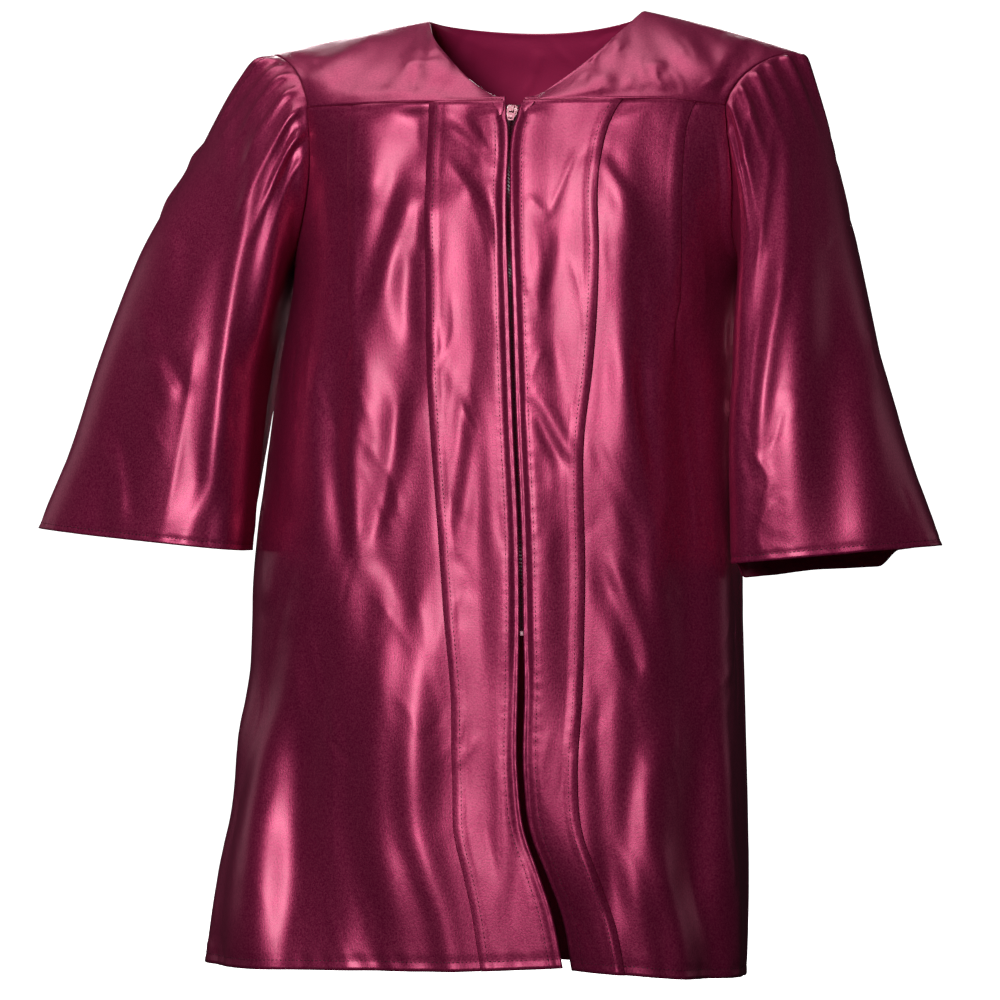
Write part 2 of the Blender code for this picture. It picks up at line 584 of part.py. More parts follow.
def back_yoke_ends(across):
    """Line of the back yoke at -1 (RIGHT armhole) to 1 (LEFT armhole), from seam to neck or shoulder."""
    side = RIGHT if across < 0 else LEFT
    section = back_section(BACK_SEAM)
    low = section.at(section.length * (across + 1) / 2)
    reach = abs(across)
    if reach <= BACK_NECK_SHARE:
        turn = math.pi / 2 * reach / BACK_NECK_SHARE
        x = NECK_HALF_WIDTH * math.sin(turn)
        y = BACK_NECK_DEPTH * math.cos(turn) ** 0.8
        drop = mix(BACK_NECK_DROP, NECK_DROP[side], math.sin(turn) ** 2)
        top = Vector((side * x, y + RIDGE_GAP / 2, -drop))
    else:
        share = (reach - BACK_NECK_SHARE) / (1 - BACK_NECK_SHARE)
        top = shoulder(side, mix(NECK_HALF_WIDTH, TIP_HALF_WIDTH[side], share))
        top.y += RIDGE_GAP / 2
    return low, top, mix(BACK_NECK_BEND, YOKE_TIP_BEND, reach)


def yoke_back_grid():
    return yoke_grid([back_yoke_ends(column / YOKE_COLUMNS - 1) for column in range(2 * YOKE_COLUMNS + 1)])


def armhole_half(side, front):
    """Half an armhole's edge, from the shoulder tip down to the armpit, with the panels' own corners."""
    if front:
        low, top, bend = yoke_ends(side, YOKE_COLUMNS)
        drops, edge_angle = FRONT_ROWS, front_edge_angle
    else:
        low, top, bend = back_yoke_ends(-side)
        drops, edge_angle = BACK_ROWS, back_edge_angle
    points = [over_shoulder(low, top, 1 - row / YOKE_ROWS, bend) for row in range(YOKE_ROWS + 1)]
    for drop in drops:
        if drop <= ARMPIT:
            x, y = ring(drop, np.array([edge_angle(side, drop)]))[0]
            fall = seam_fall(side, 1.0, drop) if front else 0.0
            points.append(Vector((x, y, -(drop + fall))))
    return np.array(points)


def by_length(points, share):
    steps = np.linalg.norm(np.diff(points, axis=0), axis=1)
    reach = np.concatenate([[0.0], np.cumsum(steps)])
    return np.array([np.interp(share * reach[-1], reach, points[:, axis]) for axis in range(3)])


def sleeve_angles():
    """Angles round a sleeve, close together where it is gathered."""
    cap = np.linspace(-GATHER_HALF_SPAN, GATHER_HALF_SPAN, 4 * GATHERS + 1)
    under = np.linspace(GATHER_HALF_SPAN, 2 * math.pi - GATHER_HALF_SPAN, UNDER_COLUMNS + 2)[1:-1]
    return np.concatenate([cap, under])


def plain_ring(side, along, angles):
    """The sleeve's ring at a share of its length, before armhole shape, gathers and folds."""
    value = {name: read(SLEEVES[side], name, along) for name in SleeveRing._fields[1:]}
    outer = np.array([side * value["outer_x"], value["outer_y"], -value["outer_drop"]])
    inner = np.array([side * value["inner_x"], value["inner_y"], -value["inner_drop"]])
    up, over = np.cos(angles), np.sin(angles)
    up = np.sign(up) * np.abs(up) ** (2 / SLEEVE_SQUARE)
    over = np.sign(over) * np.abs(over) ** (2 / SLEEVE_SQUARE)
    depth = np.where(over > 0, value["front"], value["back"])
    points = (outer + inner) / 2 + up[:, None] * (outer - inner) / 2
    points[:, 1] -= depth * over
    behind = [smooth(-b / 0.35) * smooth((0.23 - a / 2) / 0.09) for a, b in zip(up, over)]
    points[:, 2] -= CUFF_FALL[side] * along**3 * np.array(behind)
    return points


def beside_body(side, along, points):
    """Moves a sleeve's points sideways where they would sink into the body."""
    margin = mix(ARMHOLE_CLEARANCE, SLEEVE_CLEARANCE, smooth(along / 0.1))
    for point in points:
        drop = -point[2]
        depth = read(BODY, "front" if point[1] < 0 else "back", drop) + margin
        if drop > ARMHOLE_TOP and abs(point[1]) < depth:
            width = read(BODY, "half_width", drop) + margin
            reach = width * (1 - (abs(point[1]) / depth) ** SQUARE) ** (1 / SQUARE)
            point[0] = side * max(side * point[0], side * read(BODY, "centre", drop) + reach)
    return points


def armhole_ring(side, angles):
    """The armhole's edge at the same angles, set just outside the walls that it is sewn to."""
    halves = {front: armhole_half(side, front) for front in (True, False)}
    points = []
    for angle in (angles + math.pi) % (2 * math.pi) - math.pi:
        point = by_length(halves[angle >= 0], abs(angle) / math.pi)
        low = smooth((abs(angle) / math.pi - 0.75) / 0.2)
        point[0] += side * (ARMHOLE_STEP + ARMPIT_STEP * low)
        points.append(point)
    return np.array(points)


def surface_normals(grid, wraps):
    """Unit normals of a grid of points, from the directions along its rows and columns."""
    if wraps:
        around = np.roll(grid, -1, axis=1) - np.roll(grid, 1, axis=1)
    else:
        around = np.gradient(grid, axis=1)
    normals = np.cross(around, np.gradient(grid, axis=0))
    return normals / np.linalg.norm(normals, axis=2, keepdims=True)


def sleeve_lift(side, along, angle):
    wave = math.cos(math.pi * GATHERS * (angle / GATHER_HALF_SPAN + 1))
    sewn = smooth(along / 0.05)
    fade = max(0.0, 1 - along / GATHER_LENGTH) ** 1.5
    edge = smooth((GATHER_HALF_SPAN - abs(angle)) / 0.3)
    lift = GATHER_HEIGHT * wave * sewn * fade * edge
    full_turn = angle % (2 * math.pi)
    for fold in SLEEVE_FOLDS[side]:
        share = (along - fold.first) / (fold.last - fold.first)
        if share > 0:
            middle = mix(fold.start, fold.finish, share)
            lift += fold.height * smooth(share / 0.4) * bump(full_turn - middle, fold.half_width)
    return lift


def sleeve_grid(side):
    angles = sleeve_angles()
    misfit = armhole_ring(side, angles) - plain_ring(side, 0.0, angles)
    rows = []
    for along in SLEEVE_ROWS:
        rows.append(plain_ring(side, along, angles) + misfit * (1 - smooth(along / ARMHOLE_SHAPE)))
    grid = np.array(rows)
    normals = surface_normals(grid, wraps=True) * -side
    lifts = np.array([[sleeve_lift(side, along, angle) for angle in angles] for along in SLEEVE_ROWS])
    grid += normals * lifts[:, :, None]
    beside = [beside_body(side, along, points) for along, points in zip(SLEEVE_ROWS[1:], grid[1:])]
    return [grid[0], *beside]


def corner_grid(side):
    """The turned corner beside the top of the zip, made from the panel's points moved out."""
    name = "left" if side == LEFT else "right"
    grid = []
    for spot in CORNERS:
        section = front_section(side, spot.drop)
        near, far = getattr(spot, name + "_near"), getattr(spot, name + "_far")
        grid.append([section.at(mix(near, far, part / 3), WALL + SEAM, spot.drop) for part in range(4)])
    return grid


def tape_rings(side):
    """Sections of a zip tape with its half of the chain, which parts from the other half in the slider."""
    chain_face = -WALL / 2 - CLEAR
    tape_face = chain_face - 0.0001
    rings = []
    for drop in np.concatenate([np.linspace(ZIP_TOP, 0.080, 5), np.linspace(0.095, ZIP_END, 20)]):
        drop = float(drop)
        section = front_section(side, drop)
        start = SEAM / 2 + CHAIN_PARTING * (1 - smooth((drop - ZIP_TOP) / SLIDER_LENGTH))
        outline = (
            (start, chain_face),
            (start + CHAIN_HALF_WIDTH, chain_face),
            (start + CHAIN_HALF_WIDTH, tape_face),
            (TAPE_WIDTH, tape_face),
            (TAPE_WIDTH, tape_face - TAPE_THICKNESS),
            (start + CHAIN_HALF_WIDTH, tape_face - TAPE_THICKNESS),
            (start + CHAIN_HALF_WIDTH, chain_face - CHAIN_THICKNESS),
            (start, chain_face - CHAIN_THICKNESS),
        )
        rings.append([section.at(t, h + front_lift(side, t, drop), drop) for t, h in outline])
    return rings


def principled(name, color, roughness, metallic=0.0):
    material = bpy.data.materials.new(name)
    material.use_nodes = True
    shader = material.node_tree.nodes["Principled BSDF"]
    shader.inputs["Base Color"].default_value = (*color, 1.0)
    shader.inputs["Roughness"].default_value = roughness
    shader.inputs["Metallic"].default_value = metallic
    return material


def add_object(name, mesh, collection, material):
    model = bpy.data.objects.new(name, mesh)
    mesh.materials.append(material)
    collection.objects.link(model)
    return model


def mesh_of(name, rings, wraps, capped=False):
    """Quads between neighbouring rings of points, with flat ends where capped."""
    work = bmesh.new()
    rows = [[work.verts.new(point) for point in points] for points in rings]
    count = len(rows[0])
    for upper, lower in zip(rows, rows[1:]):
        for i in range(count if wraps else count - 1):
            j = (i + 1) % count
            work.faces.new((upper[i], lower[i], lower[j], upper[j]))
    if capped:
        work.faces.new(rows[0])
        work.faces.new(reversed(rows[-1]))
    bmesh.ops.recalc_face_normals(work, faces=work.faces)
    mesh = bpy.data.meshes.new(name)
    work.to_mesh(mesh)
    work.free()
    return mesh


def cloth(name, grid, collection, material, wraps=False):
    """A wall of cloth: the grid is its middle, and Solidify gives it its thickness."""
    mesh = mesh_of(name, grid, wraps)
    mesh.shade_smooth()
    model = add_object(name, mesh, collection, material)
    wall = model.modifiers.new("Wall", "SOLIDIFY")
    wall.thickness = WALL
    wall.offset = 0.0
    wall.use_even_offset = True
    return model


def box(name, size, centre, collection, material):
    work = bmesh.new()
    bmesh.ops.create_cube(work, size=1.0)
    bmesh.ops.transform(work, matrix=Matrix.Diagonal((*size, 1.0)), verts=work.verts)
    bmesh.ops.translate(work, vec=centre, verts=work.verts)
    mesh = bpy.data.meshes.new(name)
    work.to_mesh(mesh)
    work.free()
    return add_object(name, mesh, collection, material)


def plate_of(name, outlines, thickness, collection, material):
    """A flat plate from closed outlines in its own XY plane, the first with the others as holes."""
    curve = bpy.data.curves.new(name, "CURVE")
    curve.dimensions = "2D"
    curve.fill_mode = "BOTH"
    curve.extrude = thickness / 2
    for outline in outlines:
        spline = curve.splines.new("POLY")
        spline.points.add(len(outline) - 1)
        spline.use_cyclic_u = True
        for point, (x, y) in zip(spline.points, outline):
            point.co = (x, y, 0, 1)
    drawn = bpy.data.objects.new(name + "_curve", curve)
    collection.objects.link(drawn)
    graph = bpy.context.evaluated_depsgraph_get()
    mesh = bpy.data.meshes.new_from_object(drawn.evaluated_get(graph))
    bpy.data.objects.remove(drawn)
    work = bmesh.new()
    work.from_mesh(mesh)
    bmesh.ops.remove_doubles(work, verts=work.verts, dist=1e-6)
    bmesh.ops.recalc_face_normals(work, faces=work.faces)
    work.to_mesh(mesh)
    work.free()
    mesh.materials.clear()
    return add_object(name, mesh, collection, material)


def join(model, other, cutters):
    """Adds another solid to a model with an exact Boolean, and keeps the other out of sight."""
    for owner in list(other.users_collection):
        owner.objects.unlink(other)
    cutters.objects.link(other)
    other.hide_render = True
    other.display_type = "WIRE"
    union = model.modifiers.new("Join " + other.name, "BOOLEAN")
    union.operation = "UNION"
    union.object = other


def zip_frame():
    """Where the slider sits: its middle on the panels' surface, turned so that -Y is out, +Z up the zip."""
    points = []
    for drop in (ZIP_TOP, ZIP_TOP + SLIDER_LENGTH / 2, ZIP_TOP + SLIDER_LENGTH):
        x, y = ring(drop, np.array([zip_angle(drop)]))[0]
        points.append(Vector((x, y, -drop)))
    up = (points[0] - points[2]).normalized()
    across = Vector((1, 0, 0))
    across = (across - up * across.dot(up)).normalized()
    out = across.cross(up)
    turn = Matrix((across, -out, up)).transposed().to_4x4()
    return Matrix.Translation(points[1]) @ turn


def add_slider(collection, cutters, metal):
    """Two plates, joined by a post between the parted halves of the chain, and a bridge for the tab."""
    upright = Matrix.Rotation(math.pi / 2, 4, "X")
    front = WALL / 2  # depth of the front plate's inner face behind the panels' middle
    rear = front + CHAIN_THICKNESS + 2 * CLEAR
    outline = [*SLIDER_OUTLINE, *((-x, height) for x, height in reversed(SLIDER_OUTLINE))]
    parts = []
    for name, depth in (("zip_slider", front - PLATE / 2), ("slider_rear", rear + PLATE / 2)):
        plate = plate_of(name, (outline,), PLATE, collection, metal)
        plate.matrix_world = zip_frame() @ Matrix.Translation((0, depth, 0)) @ upright
        parts.append(plate)
    size = (POST_WIDTH, rear - front + PLATE, POST_HEIGHT)
    centre = (0, (front + rear) / 2, SLIDER_LENGTH / 2 - POST_BELOW)
    post = box("slider_post", size, centre, collection, metal)
    post.matrix_world = zip_frame()
    bridge = plate_of("slider_bridge", (BRIDGE_OUTLINE,), 2 * BRIDGE_HALF_WIDTH, collection, metal)
    side_view = Matrix(((0, 0, 1, 0), (-1, 0, 0, 0), (0, 1, 0, 0), (0, 0, 0, 1)))
    bridge.matrix_world = zip_frame() @ Matrix.Translation((0, front - PLATE, 0)) @ side_view
    for other in (parts[1], post, bridge):
        join(parts[0], other, cutters)


def add_tab(collection, metal):
    """The pull tab, with its origin on the axis that it swings about."""
    tab = plate_of("pull_tab", TAB_OUTLINES, TAB_THICKNESS, collection, metal)
    face = WALL / 2 - PLATE
    upright = Matrix.Rotation(math.pi / 2, 4, "X")
    tab.matrix_world = zip_frame() @ Matrix.Translation((0, face - BAR_OUT, BAR_HEIGHT)) @ upright


def add_stop(collection, metal):
    drop = ZIP_END + STOP_BELOW
    x, y = ring(drop, np.array([zip_angle(drop)]))[0]
    depth = WALL / 2 + 2 * CLEAR + CHAIN_THICKNESS / 2
    box("zip_stop", STOP_SIZE, (x, y + depth, -drop), collection, metal)


def clear_scene():
    for model in list(bpy.data.objects):
        bpy.data.objects.remove(model, do_unlink=True)


def main():
    clear_scene()
    robe = bpy.data.collections.new("Choir robe")
    bpy.context.scene.collection.children.link(robe)
    cutters = bpy.data.collections.new("Helpers")
    bpy.context.scene.collection.children.link(cutters)
    satin = {"color": (0.23, 0.012, 0.070), "roughness": 0.30}
    for side, name in ((LEFT, "left"), (RIGHT, "right")):
        piece = "yoke_front_" + name
        cloth(piece, yoke_front_grid(side), robe, principled(piece, **satin))
        piece = "front_" + name
        cloth(piece, front_grid(side), robe, principled(piece, **satin))
        piece = "sleeve_" + name
        cloth(piece, sleeve_grid(side), robe, principled(piece, **satin), wraps=True)
        piece = "corner_" + name
        cloth(piece, corner_grid(side), robe, principled(piece, **satin))
        piece = "zip_tape_" + name
        tape = mesh_of(piece, tape_rings(side), wraps=True, capped=True)
        add_object(piece, tape, robe, principled(piece, (0.12, 0.008, 0.035), 0.6))
    cloth("yoke_back", yoke_back_grid(), robe, principled("yoke_back", **satin))
    cloth("back_panel", back_grid(), robe, principled("back_panel", **satin))
    add_slider(robe, cutters, principled("slider_enamel", (0.36, 0.10, 0.15), 0.35, 0.4))
    add_tab(robe, principled("tab_enamel", (0.40, 0.06, 0.12), 0.35, 0.3))
    add_stop(robe, principled("stop_metal", (0.55, 0.42, 0.45), 0.3, 0.9))


main()
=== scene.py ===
import math
from collections import namedtuple

import bpy
import numpy as np
from mathutils import Matrix, Vector


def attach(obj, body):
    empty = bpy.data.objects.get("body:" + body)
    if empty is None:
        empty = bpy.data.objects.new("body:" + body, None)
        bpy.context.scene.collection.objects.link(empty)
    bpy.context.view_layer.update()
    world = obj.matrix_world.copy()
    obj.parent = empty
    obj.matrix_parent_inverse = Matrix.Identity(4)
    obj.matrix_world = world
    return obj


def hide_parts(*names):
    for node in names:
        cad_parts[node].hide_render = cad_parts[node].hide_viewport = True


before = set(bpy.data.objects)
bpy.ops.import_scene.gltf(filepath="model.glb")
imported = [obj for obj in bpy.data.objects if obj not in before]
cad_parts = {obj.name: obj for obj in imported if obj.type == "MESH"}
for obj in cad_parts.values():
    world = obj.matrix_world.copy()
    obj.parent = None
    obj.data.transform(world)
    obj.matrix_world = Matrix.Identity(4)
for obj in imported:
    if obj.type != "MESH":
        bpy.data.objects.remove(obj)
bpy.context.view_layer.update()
print("frame loaded,", len(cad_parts), "nodes")

left, right = -1, 1  # as seen from the front: left is -X, right is +X
sideNames = {left: "left", right: "right"}

# The camera, and the picture's own coordinates that the listed creases use
picture = {
    "azimuth": 12.0,  # degrees from straight ahead, towards +X
    "distance": 3.5,
    "frameWidth": 0.79,  # metres across the picture at the origin's depth
    "right": -0.02844,  # what the camera looks at, from the origin
    "up": -0.3604,
    "size": 1000,
    "sensor": 36.0,
}


def pictureSpots(points):
    # Where points are seen: across and down from the picture's top left corner, in its thousandths
    turn = math.radians(picture["azimuth"])
    across = points[..., 0] * math.cos(turn) + points[..., 1] * math.sin(turn) - picture["right"]
    away = picture["distance"] - points[..., 0] * math.sin(turn) + points[..., 1] * math.cos(turn)
    up = points[..., 2] - picture["up"]
    scale = picture["distance"] / away / picture["frameWidth"] * picture["size"]
    middle = picture["size"] / 2
    return np.stack([middle + across * scale, middle - up * scale], axis=-1)


def smooth(share):
    share = np.clip(share, 0.0, 1.0)
    return share * share * (3 - 2 * share)


def mix(first, last, share):
    return first + (last - first) * share


hillFall = 1.4  # a hill is a quarter as high at its half width


def bump(offset, halfWidth):
    return np.exp(-hillFall * (offset / halfWidth) ** 2)


def read(table, column, at):
    # A column of a table along one smooth curve, by the table's first column
    keys = np.array(table[next(iter(table))], float)
    values = np.array(table[column], float)
    slopes = np.gradient(values, keys)
    at = np.clip(at, keys[0], keys[-1])
    low = np.clip(np.searchsorted(keys, at) - 1, 0, len(keys) - 2)
    span = keys[low + 1] - keys[low]
    part = (at - keys[low]) / span
    rise = slopes[low] * part * (1 - part) ** 2 + slopes[low + 1] * part**2 * (part - 1)
    ends = values[low] * (1 + 2 * part) * (1 - part) ** 2 + values[low + 1] * part**2 * (3 - 2 * part)
    return ends + span * rise


# Sizes that all cloth pieces share; drops are distances below the shoulders
cloth = {
    "thickness": 0.0007,
    "seamGap": 0.0001,
    "wall": 0.0010,  # of the solids, whose middle the cloth follows
    "ridgeGap": 0.0009,
    "square": 2.4,  # exponent of the body's outline: 2 is an ellipse
    "frontSeam": 0.053,
    "backSeam": 0.075,
    "armpit": 0.1775,
    "hem": 0.722,
    "hemLineStarts": 0.500,
    "panelTopGap": 0.0009,
    "sideCalm": 0.060,
    "creaseCalm": 0.010,  # creases die away over this distance from a seam
    "foldStart": 0.35,  # share of a large fold's length over which it grows
    "outlinePoints": 361,
    "normalStep": 0.003,
    "threadLift": 0.00005,  # of the rows of stitches off the cloth's outer face
}

body = {  # level outlines of the body
    "drop": (0.053, 0.115, 0.1775, 0.280, 0.400, 0.530, 0.610, 0.655, 0.735),
    "centre": (-0.0030, -0.0010, -0.0120, -0.0235, -0.0305, -0.0335, -0.0360, -0.0420, -0.0505),
    "halfWidth": (0.2040, 0.1945, 0.1800, 0.1860, 0.1930, 0.1990, 0.2035, 0.2100, 0.2165),
    "front": (0.101, 0.108, 0.112, 0.115, 0.118, 0.122, 0.125, 0.128, 0.132),
    "back": (0.086, 0.090, 0.092, 0.095, 0.100, 0.105, 0.108, 0.111, 0.115),
}

armhole = {"top": 0.060, "front": 0.069, "back": 0.058, "curve": 2.7}

zipLine = {  # the zip's middle, and half the gap between the panels' edges
    "drop": (0.053, 0.059, 0.067, 0.073, 0.081, 0.120, 0.215, 0.302,
             0.387, 0.461, 0.500, 0.574, 0.615, 0.648, 0.677, 0.722),
    "x": (0.0039, 0.0024, 0.0018, 0.0014, 0.0010, 0.0005, 0.0037, 0.0070,
          0.0113, 0.0128, 0.0130, 0.0130, 0.0180, 0.0300, 0.0405, 0.0500),
    "halfGap": (0.0074, 0.0051, 0.0041, 0.0022, 0.0012, 0.0012, 0.0012, 0.0012,
                0.0012, 0.0016, 0.0024, 0.0022, 0.0022, 0.0030, 0.0040, 0.0040),
}

seeds = {  # of the random draws; -1 or 1 is added for the side where there are two
    "front": 7,
    "fly": 21,
    "tuck": 31,
    "frontHem": 41,
    "backGathers": 17,
    "back": 12,
    "backHem": 44,
    "frontYoke": 60,
    "backYoke": 66,
    "hiddenFolds": 80,
    "sleeve": 90,
    "cuff": 51,
}

Crease = namedtuple("Crease", "path halfWidth height crisp", defaults=(False,))

creasing = {  # how creases and streaks are drawn
    "pathPoints": 10,
    "taper": 0.3,  # share of a path's length over which each end dies away
    "softReach": 2.4,  # how far they are worked out to, in half widths
    "crispReach": 5.0,
    "streakReach": 3.2,
    "crispTop": 0.35,  # how rounded a crisp one is at its top, in half widths
    "crispShare": 0.15,  # of the random ones
    "bend": 0.35,
}


def roundedPath(path):
    # A smooth curve through a crease's few points
    path = np.array(path, float)
    at = np.linspace(0, len(path) - 1, creasing["pathPoints"])
    table = {"key": np.arange(len(path), dtype=float), "x": path[:, 0], "y": path[:, 1]}
    return np.stack([read(table, "x", at), read(table, "y", at)], axis=-1)


def reaches(points, axis=0):
    # Distances along lines of points from where the lines start
    steps = np.linalg.norm(np.diff(points, axis=axis), axis=-1)
    return np.insert(np.cumsum(steps, axis=axis), 0, 0.0, axis=axis)


def nearestOnPath(here, path):
    # Distance from a path, positive on the right of one that runs down, and the share of its length
    steps = np.diff(path, axis=0)
    lengths = np.linalg.norm(steps, axis=1)
    starts = reaches(path)
    gap = np.full(len(here), np.inf)
    signed = np.zeros(len(here))
    along = np.zeros(len(here))
    for first, step, length, start in zip(path, steps, lengths, starts):
        direction = step / length
        part = np.clip((here - first) @ direction, 0.0, length)
        offset = here - first - part[:, None] * direction
        distance = np.linalg.norm(offset, axis=1)
        closer = distance < gap
        gap[closer] = distance[closer]
        signed[closer] = (distance * np.sign(offset @ np.array([direction[1], -direction[0]])))[closer]
        along[closer] = start + part[closer]
    return signed, along / starts[-1]


def nearPath(flat, points, reach):
    # The spots within reach of a path, their distances from it and the taper towards its ends
    path = roundedPath(points)
    inside = (flat > path.min(axis=0) - reach) & (flat < path.max(axis=0) + reach)
    near = np.flatnonzero(inside.all(axis=1))
    signed, share = nearestOnPath(flat[near], path)
    return near, signed, smooth(share / creasing["taper"]) * smooth((1 - share) / creasing["taper"])


def creaseField(spots, creases):
    # Sum of soft or crisp ridges (height above 0) and troughs (below 0) along their paths
    flat = spots.reshape(-1, 2)
    total = np.zeros(len(flat))
    for crease in creases:
        reach = crease.halfWidth * creasing["crispReach" if crease.crisp else "softReach"]
        near, signed, taper = nearPath(flat, crease.path, reach)
        if crease.crisp:
            top = creasing["crispTop"]
            profile = np.exp(top - np.sqrt((signed / crease.halfWidth) ** 2 + top**2))
        else:
            profile = bump(signed, crease.halfWidth)
        total[near] += crease.height * taper * profile
    return total.reshape(spots.shape[:-1])


def creaseList(rows):
    # Rows of path, half width and height in millimetres
    return [Crease(path, halfWidth, height * 0.001, True) for path, halfWidth, height in rows]


def streakField(spots, streaks):
    # Each streak turns the cloth by some degrees to the right of its path,
    # which makes it catch or lose the light
    flat = spots.reshape(-1, 2)
    total = np.zeros(len(flat))
    scale = picture["frameWidth"] / picture["size"]
    for points, halfWidth, turn in streaks:
        near, signed, taper = nearPath(flat, points, halfWidth * creasing["streakReach"])
        slope = math.tan(math.radians(turn))
        total[near] -= slope * signed * scale * taper * np.exp(-0.5 * (signed / halfWidth) ** 2)
    return total.reshape(spots.shape[:-1])


def crinkles(seed, count, low, high, lengths, widths, heights, slant=0.5):
    # Small random creases between two corners of a piece's own flat; most run down the cloth
    random = np.random.default_rng(seed)
    found = []
    for _ in range(count):
        middle = random.uniform(low, high)
        turn = random.normal(0, slant)
        bend = random.uniform(-creasing["bend"], creasing["bend"])
        half = random.uniform(*lengths) / 2
        along = np.array([math.sin(turn), math.cos(turn)]) * half
        aside = np.array([math.cos(turn), -math.sin(turn)]) * half * bend
        height = random.uniform(*heights) * random.choice((-1, 1))
        path = (middle - along, middle + aside, middle + along)
        width = random.uniform(*widths)
        found.append(Crease(path, width, height, bool(random.random() < creasing["crispShare"])))
    return found


puckering = {"waves": 4, "uneven": (0.75, 1.4), "spread": 2.2}


def pucker(offset, along, seed, depth=0.00020, width=0.0016, pitch=0.0080):
    # A row of stitches draws the cloth in: a narrow trough, deeper and shallower along its length
    random = np.random.default_rng(seed)
    count = puckering["waves"]
    phases = random.uniform(0, 2 * math.pi, count)
    pitches = pitch * random.uniform(*puckering["uneven"], count)
    waves = [np.cos(2 * math.pi * along / size + phase) for size, phase in zip(pitches, phases)]
    wave = sum(waves) / count
    wide = np.exp(-((offset / (width * puckering["spread"])) ** 2)) * wave * depth
    return wide - depth * np.exp(-((offset / width) ** 2))


def bodyOutline(drop, angles):
    # Angle 0 is the front's middle and grows towards +X
    side, ahead = np.sin(angles), np.cos(angles)
    across = np.sign(side) * np.abs(side) ** (2 / cloth["square"])
    forward = np.sign(ahead) * np.abs(ahead) ** (2 / cloth["square"])
    depth = np.where(ahead > 0, read(body, "front", drop), read(body, "back", drop))
    x = read(body, "centre", drop) + read(body, "halfWidth", drop) * across
    return np.stack([x, -depth * forward], axis=-1)


class LevelLine:
    # A level stretch of the body's outline, read by distance from its start
    def __init__(self, drop, start, end):
        self.drop = drop
        self.outward = 1 if end > start else -1
        self.points = bodyOutline(drop, np.linspace(start, end, cloth["outlinePoints"]))
        self.reach = reaches(self.points)
        self.length = float(self.reach[-1])

    def flat(self, distance):
        return np.stack([np.interp(distance, self.reach, line) for line in self.points.T], axis=-1)

    def normals(self, distance):
        along = self.flat(distance + cloth["normalStep"]) - self.flat(distance - cloth["normalStep"])
        normal = np.stack([along[..., 1], -along[..., 0]], axis=-1) * self.outward
        return normal / np.linalg.norm(normal, axis=-1, keepdims=True)

    def at(self, distance, lift=0.0, drop=None):
        distance = np.asarray(distance, float)
        lift = np.broadcast_to(lift, distance.shape)
        level = np.broadcast_to(self.drop if drop is None else drop, distance.shape)
        place = self.flat(distance) + self.normals(distance) * lift[..., None]
        return np.concatenate([place, -level[..., None]], axis=-1)


def zipAngle(drop):
    across = (read(zipLine, "x", drop) - read(body, "centre", drop)) / read(body, "halfWidth", drop)
    return math.asin(math.copysign(abs(across) ** (cloth["square"] / 2), across))


def armholeReach(drop, reach):
    if drop <= armhole["top"]:
        return reach
    share = min(1.0, (drop - armhole["top"]) / (cloth["armpit"] - armhole["top"]))
    return reach * (1 - share ** armhole["curve"]) ** (1 / armhole["curve"])


def frontEdgeAngle(side, drop):
    if drop >= cloth["armpit"]:
        return side * math.pi / 2
    forward = armholeReach(drop, armhole["front"]) / read(body, "front", drop)
    return side * math.acos(forward ** (cloth["square"] / 2))


def backEdgeAngle(side, drop):
    if drop >= cloth["armpit"]:
        return side * math.pi / 2
    backward = armholeReach(drop, armhole["back"]) / read(body, "back", drop)
    return side * (math.pi - math.acos(backward ** (cloth["square"] / 2)))


def frontLine(side, drop):
    return LevelLine(drop, zipAngle(drop), frontEdgeAngle(side, drop))


def softLift(folds, distance, drop):
    total = np.zeros_like(distance)
    for top, bottom, start, finish, halfWidth, height in folds:
        share = (drop - top) / (bottom - top)
        if share > 0:
            middle = mix(start, finish, share)
            total += height * smooth(share / cloth["foldStart"]) * bump(distance - middle, halfWidth)
    return total


def hemShare(drop):
    return smooth((drop - cloth["hemLineStarts"]) / (cloth["hem"] - cloth["hemLineStarts"]))


# Mesh making

def gridNormals(grid, wraps):
    if wraps:
        around = np.roll(grid, -1, axis=1) - np.roll(grid, 1, axis=1)
    else:
        around = np.gradient(grid, axis=1)
    normals = np.cross(around, np.gradient(grid, axis=0))
    return normals / np.maximum(np.linalg.norm(normals, axis=2, keepdims=True), 1e-12)


def linked(name, data):
    # A new object in the scene
    made = bpy.data.objects.new(name, data)
    bpy.context.scene.collection.objects.link(made)
    return made


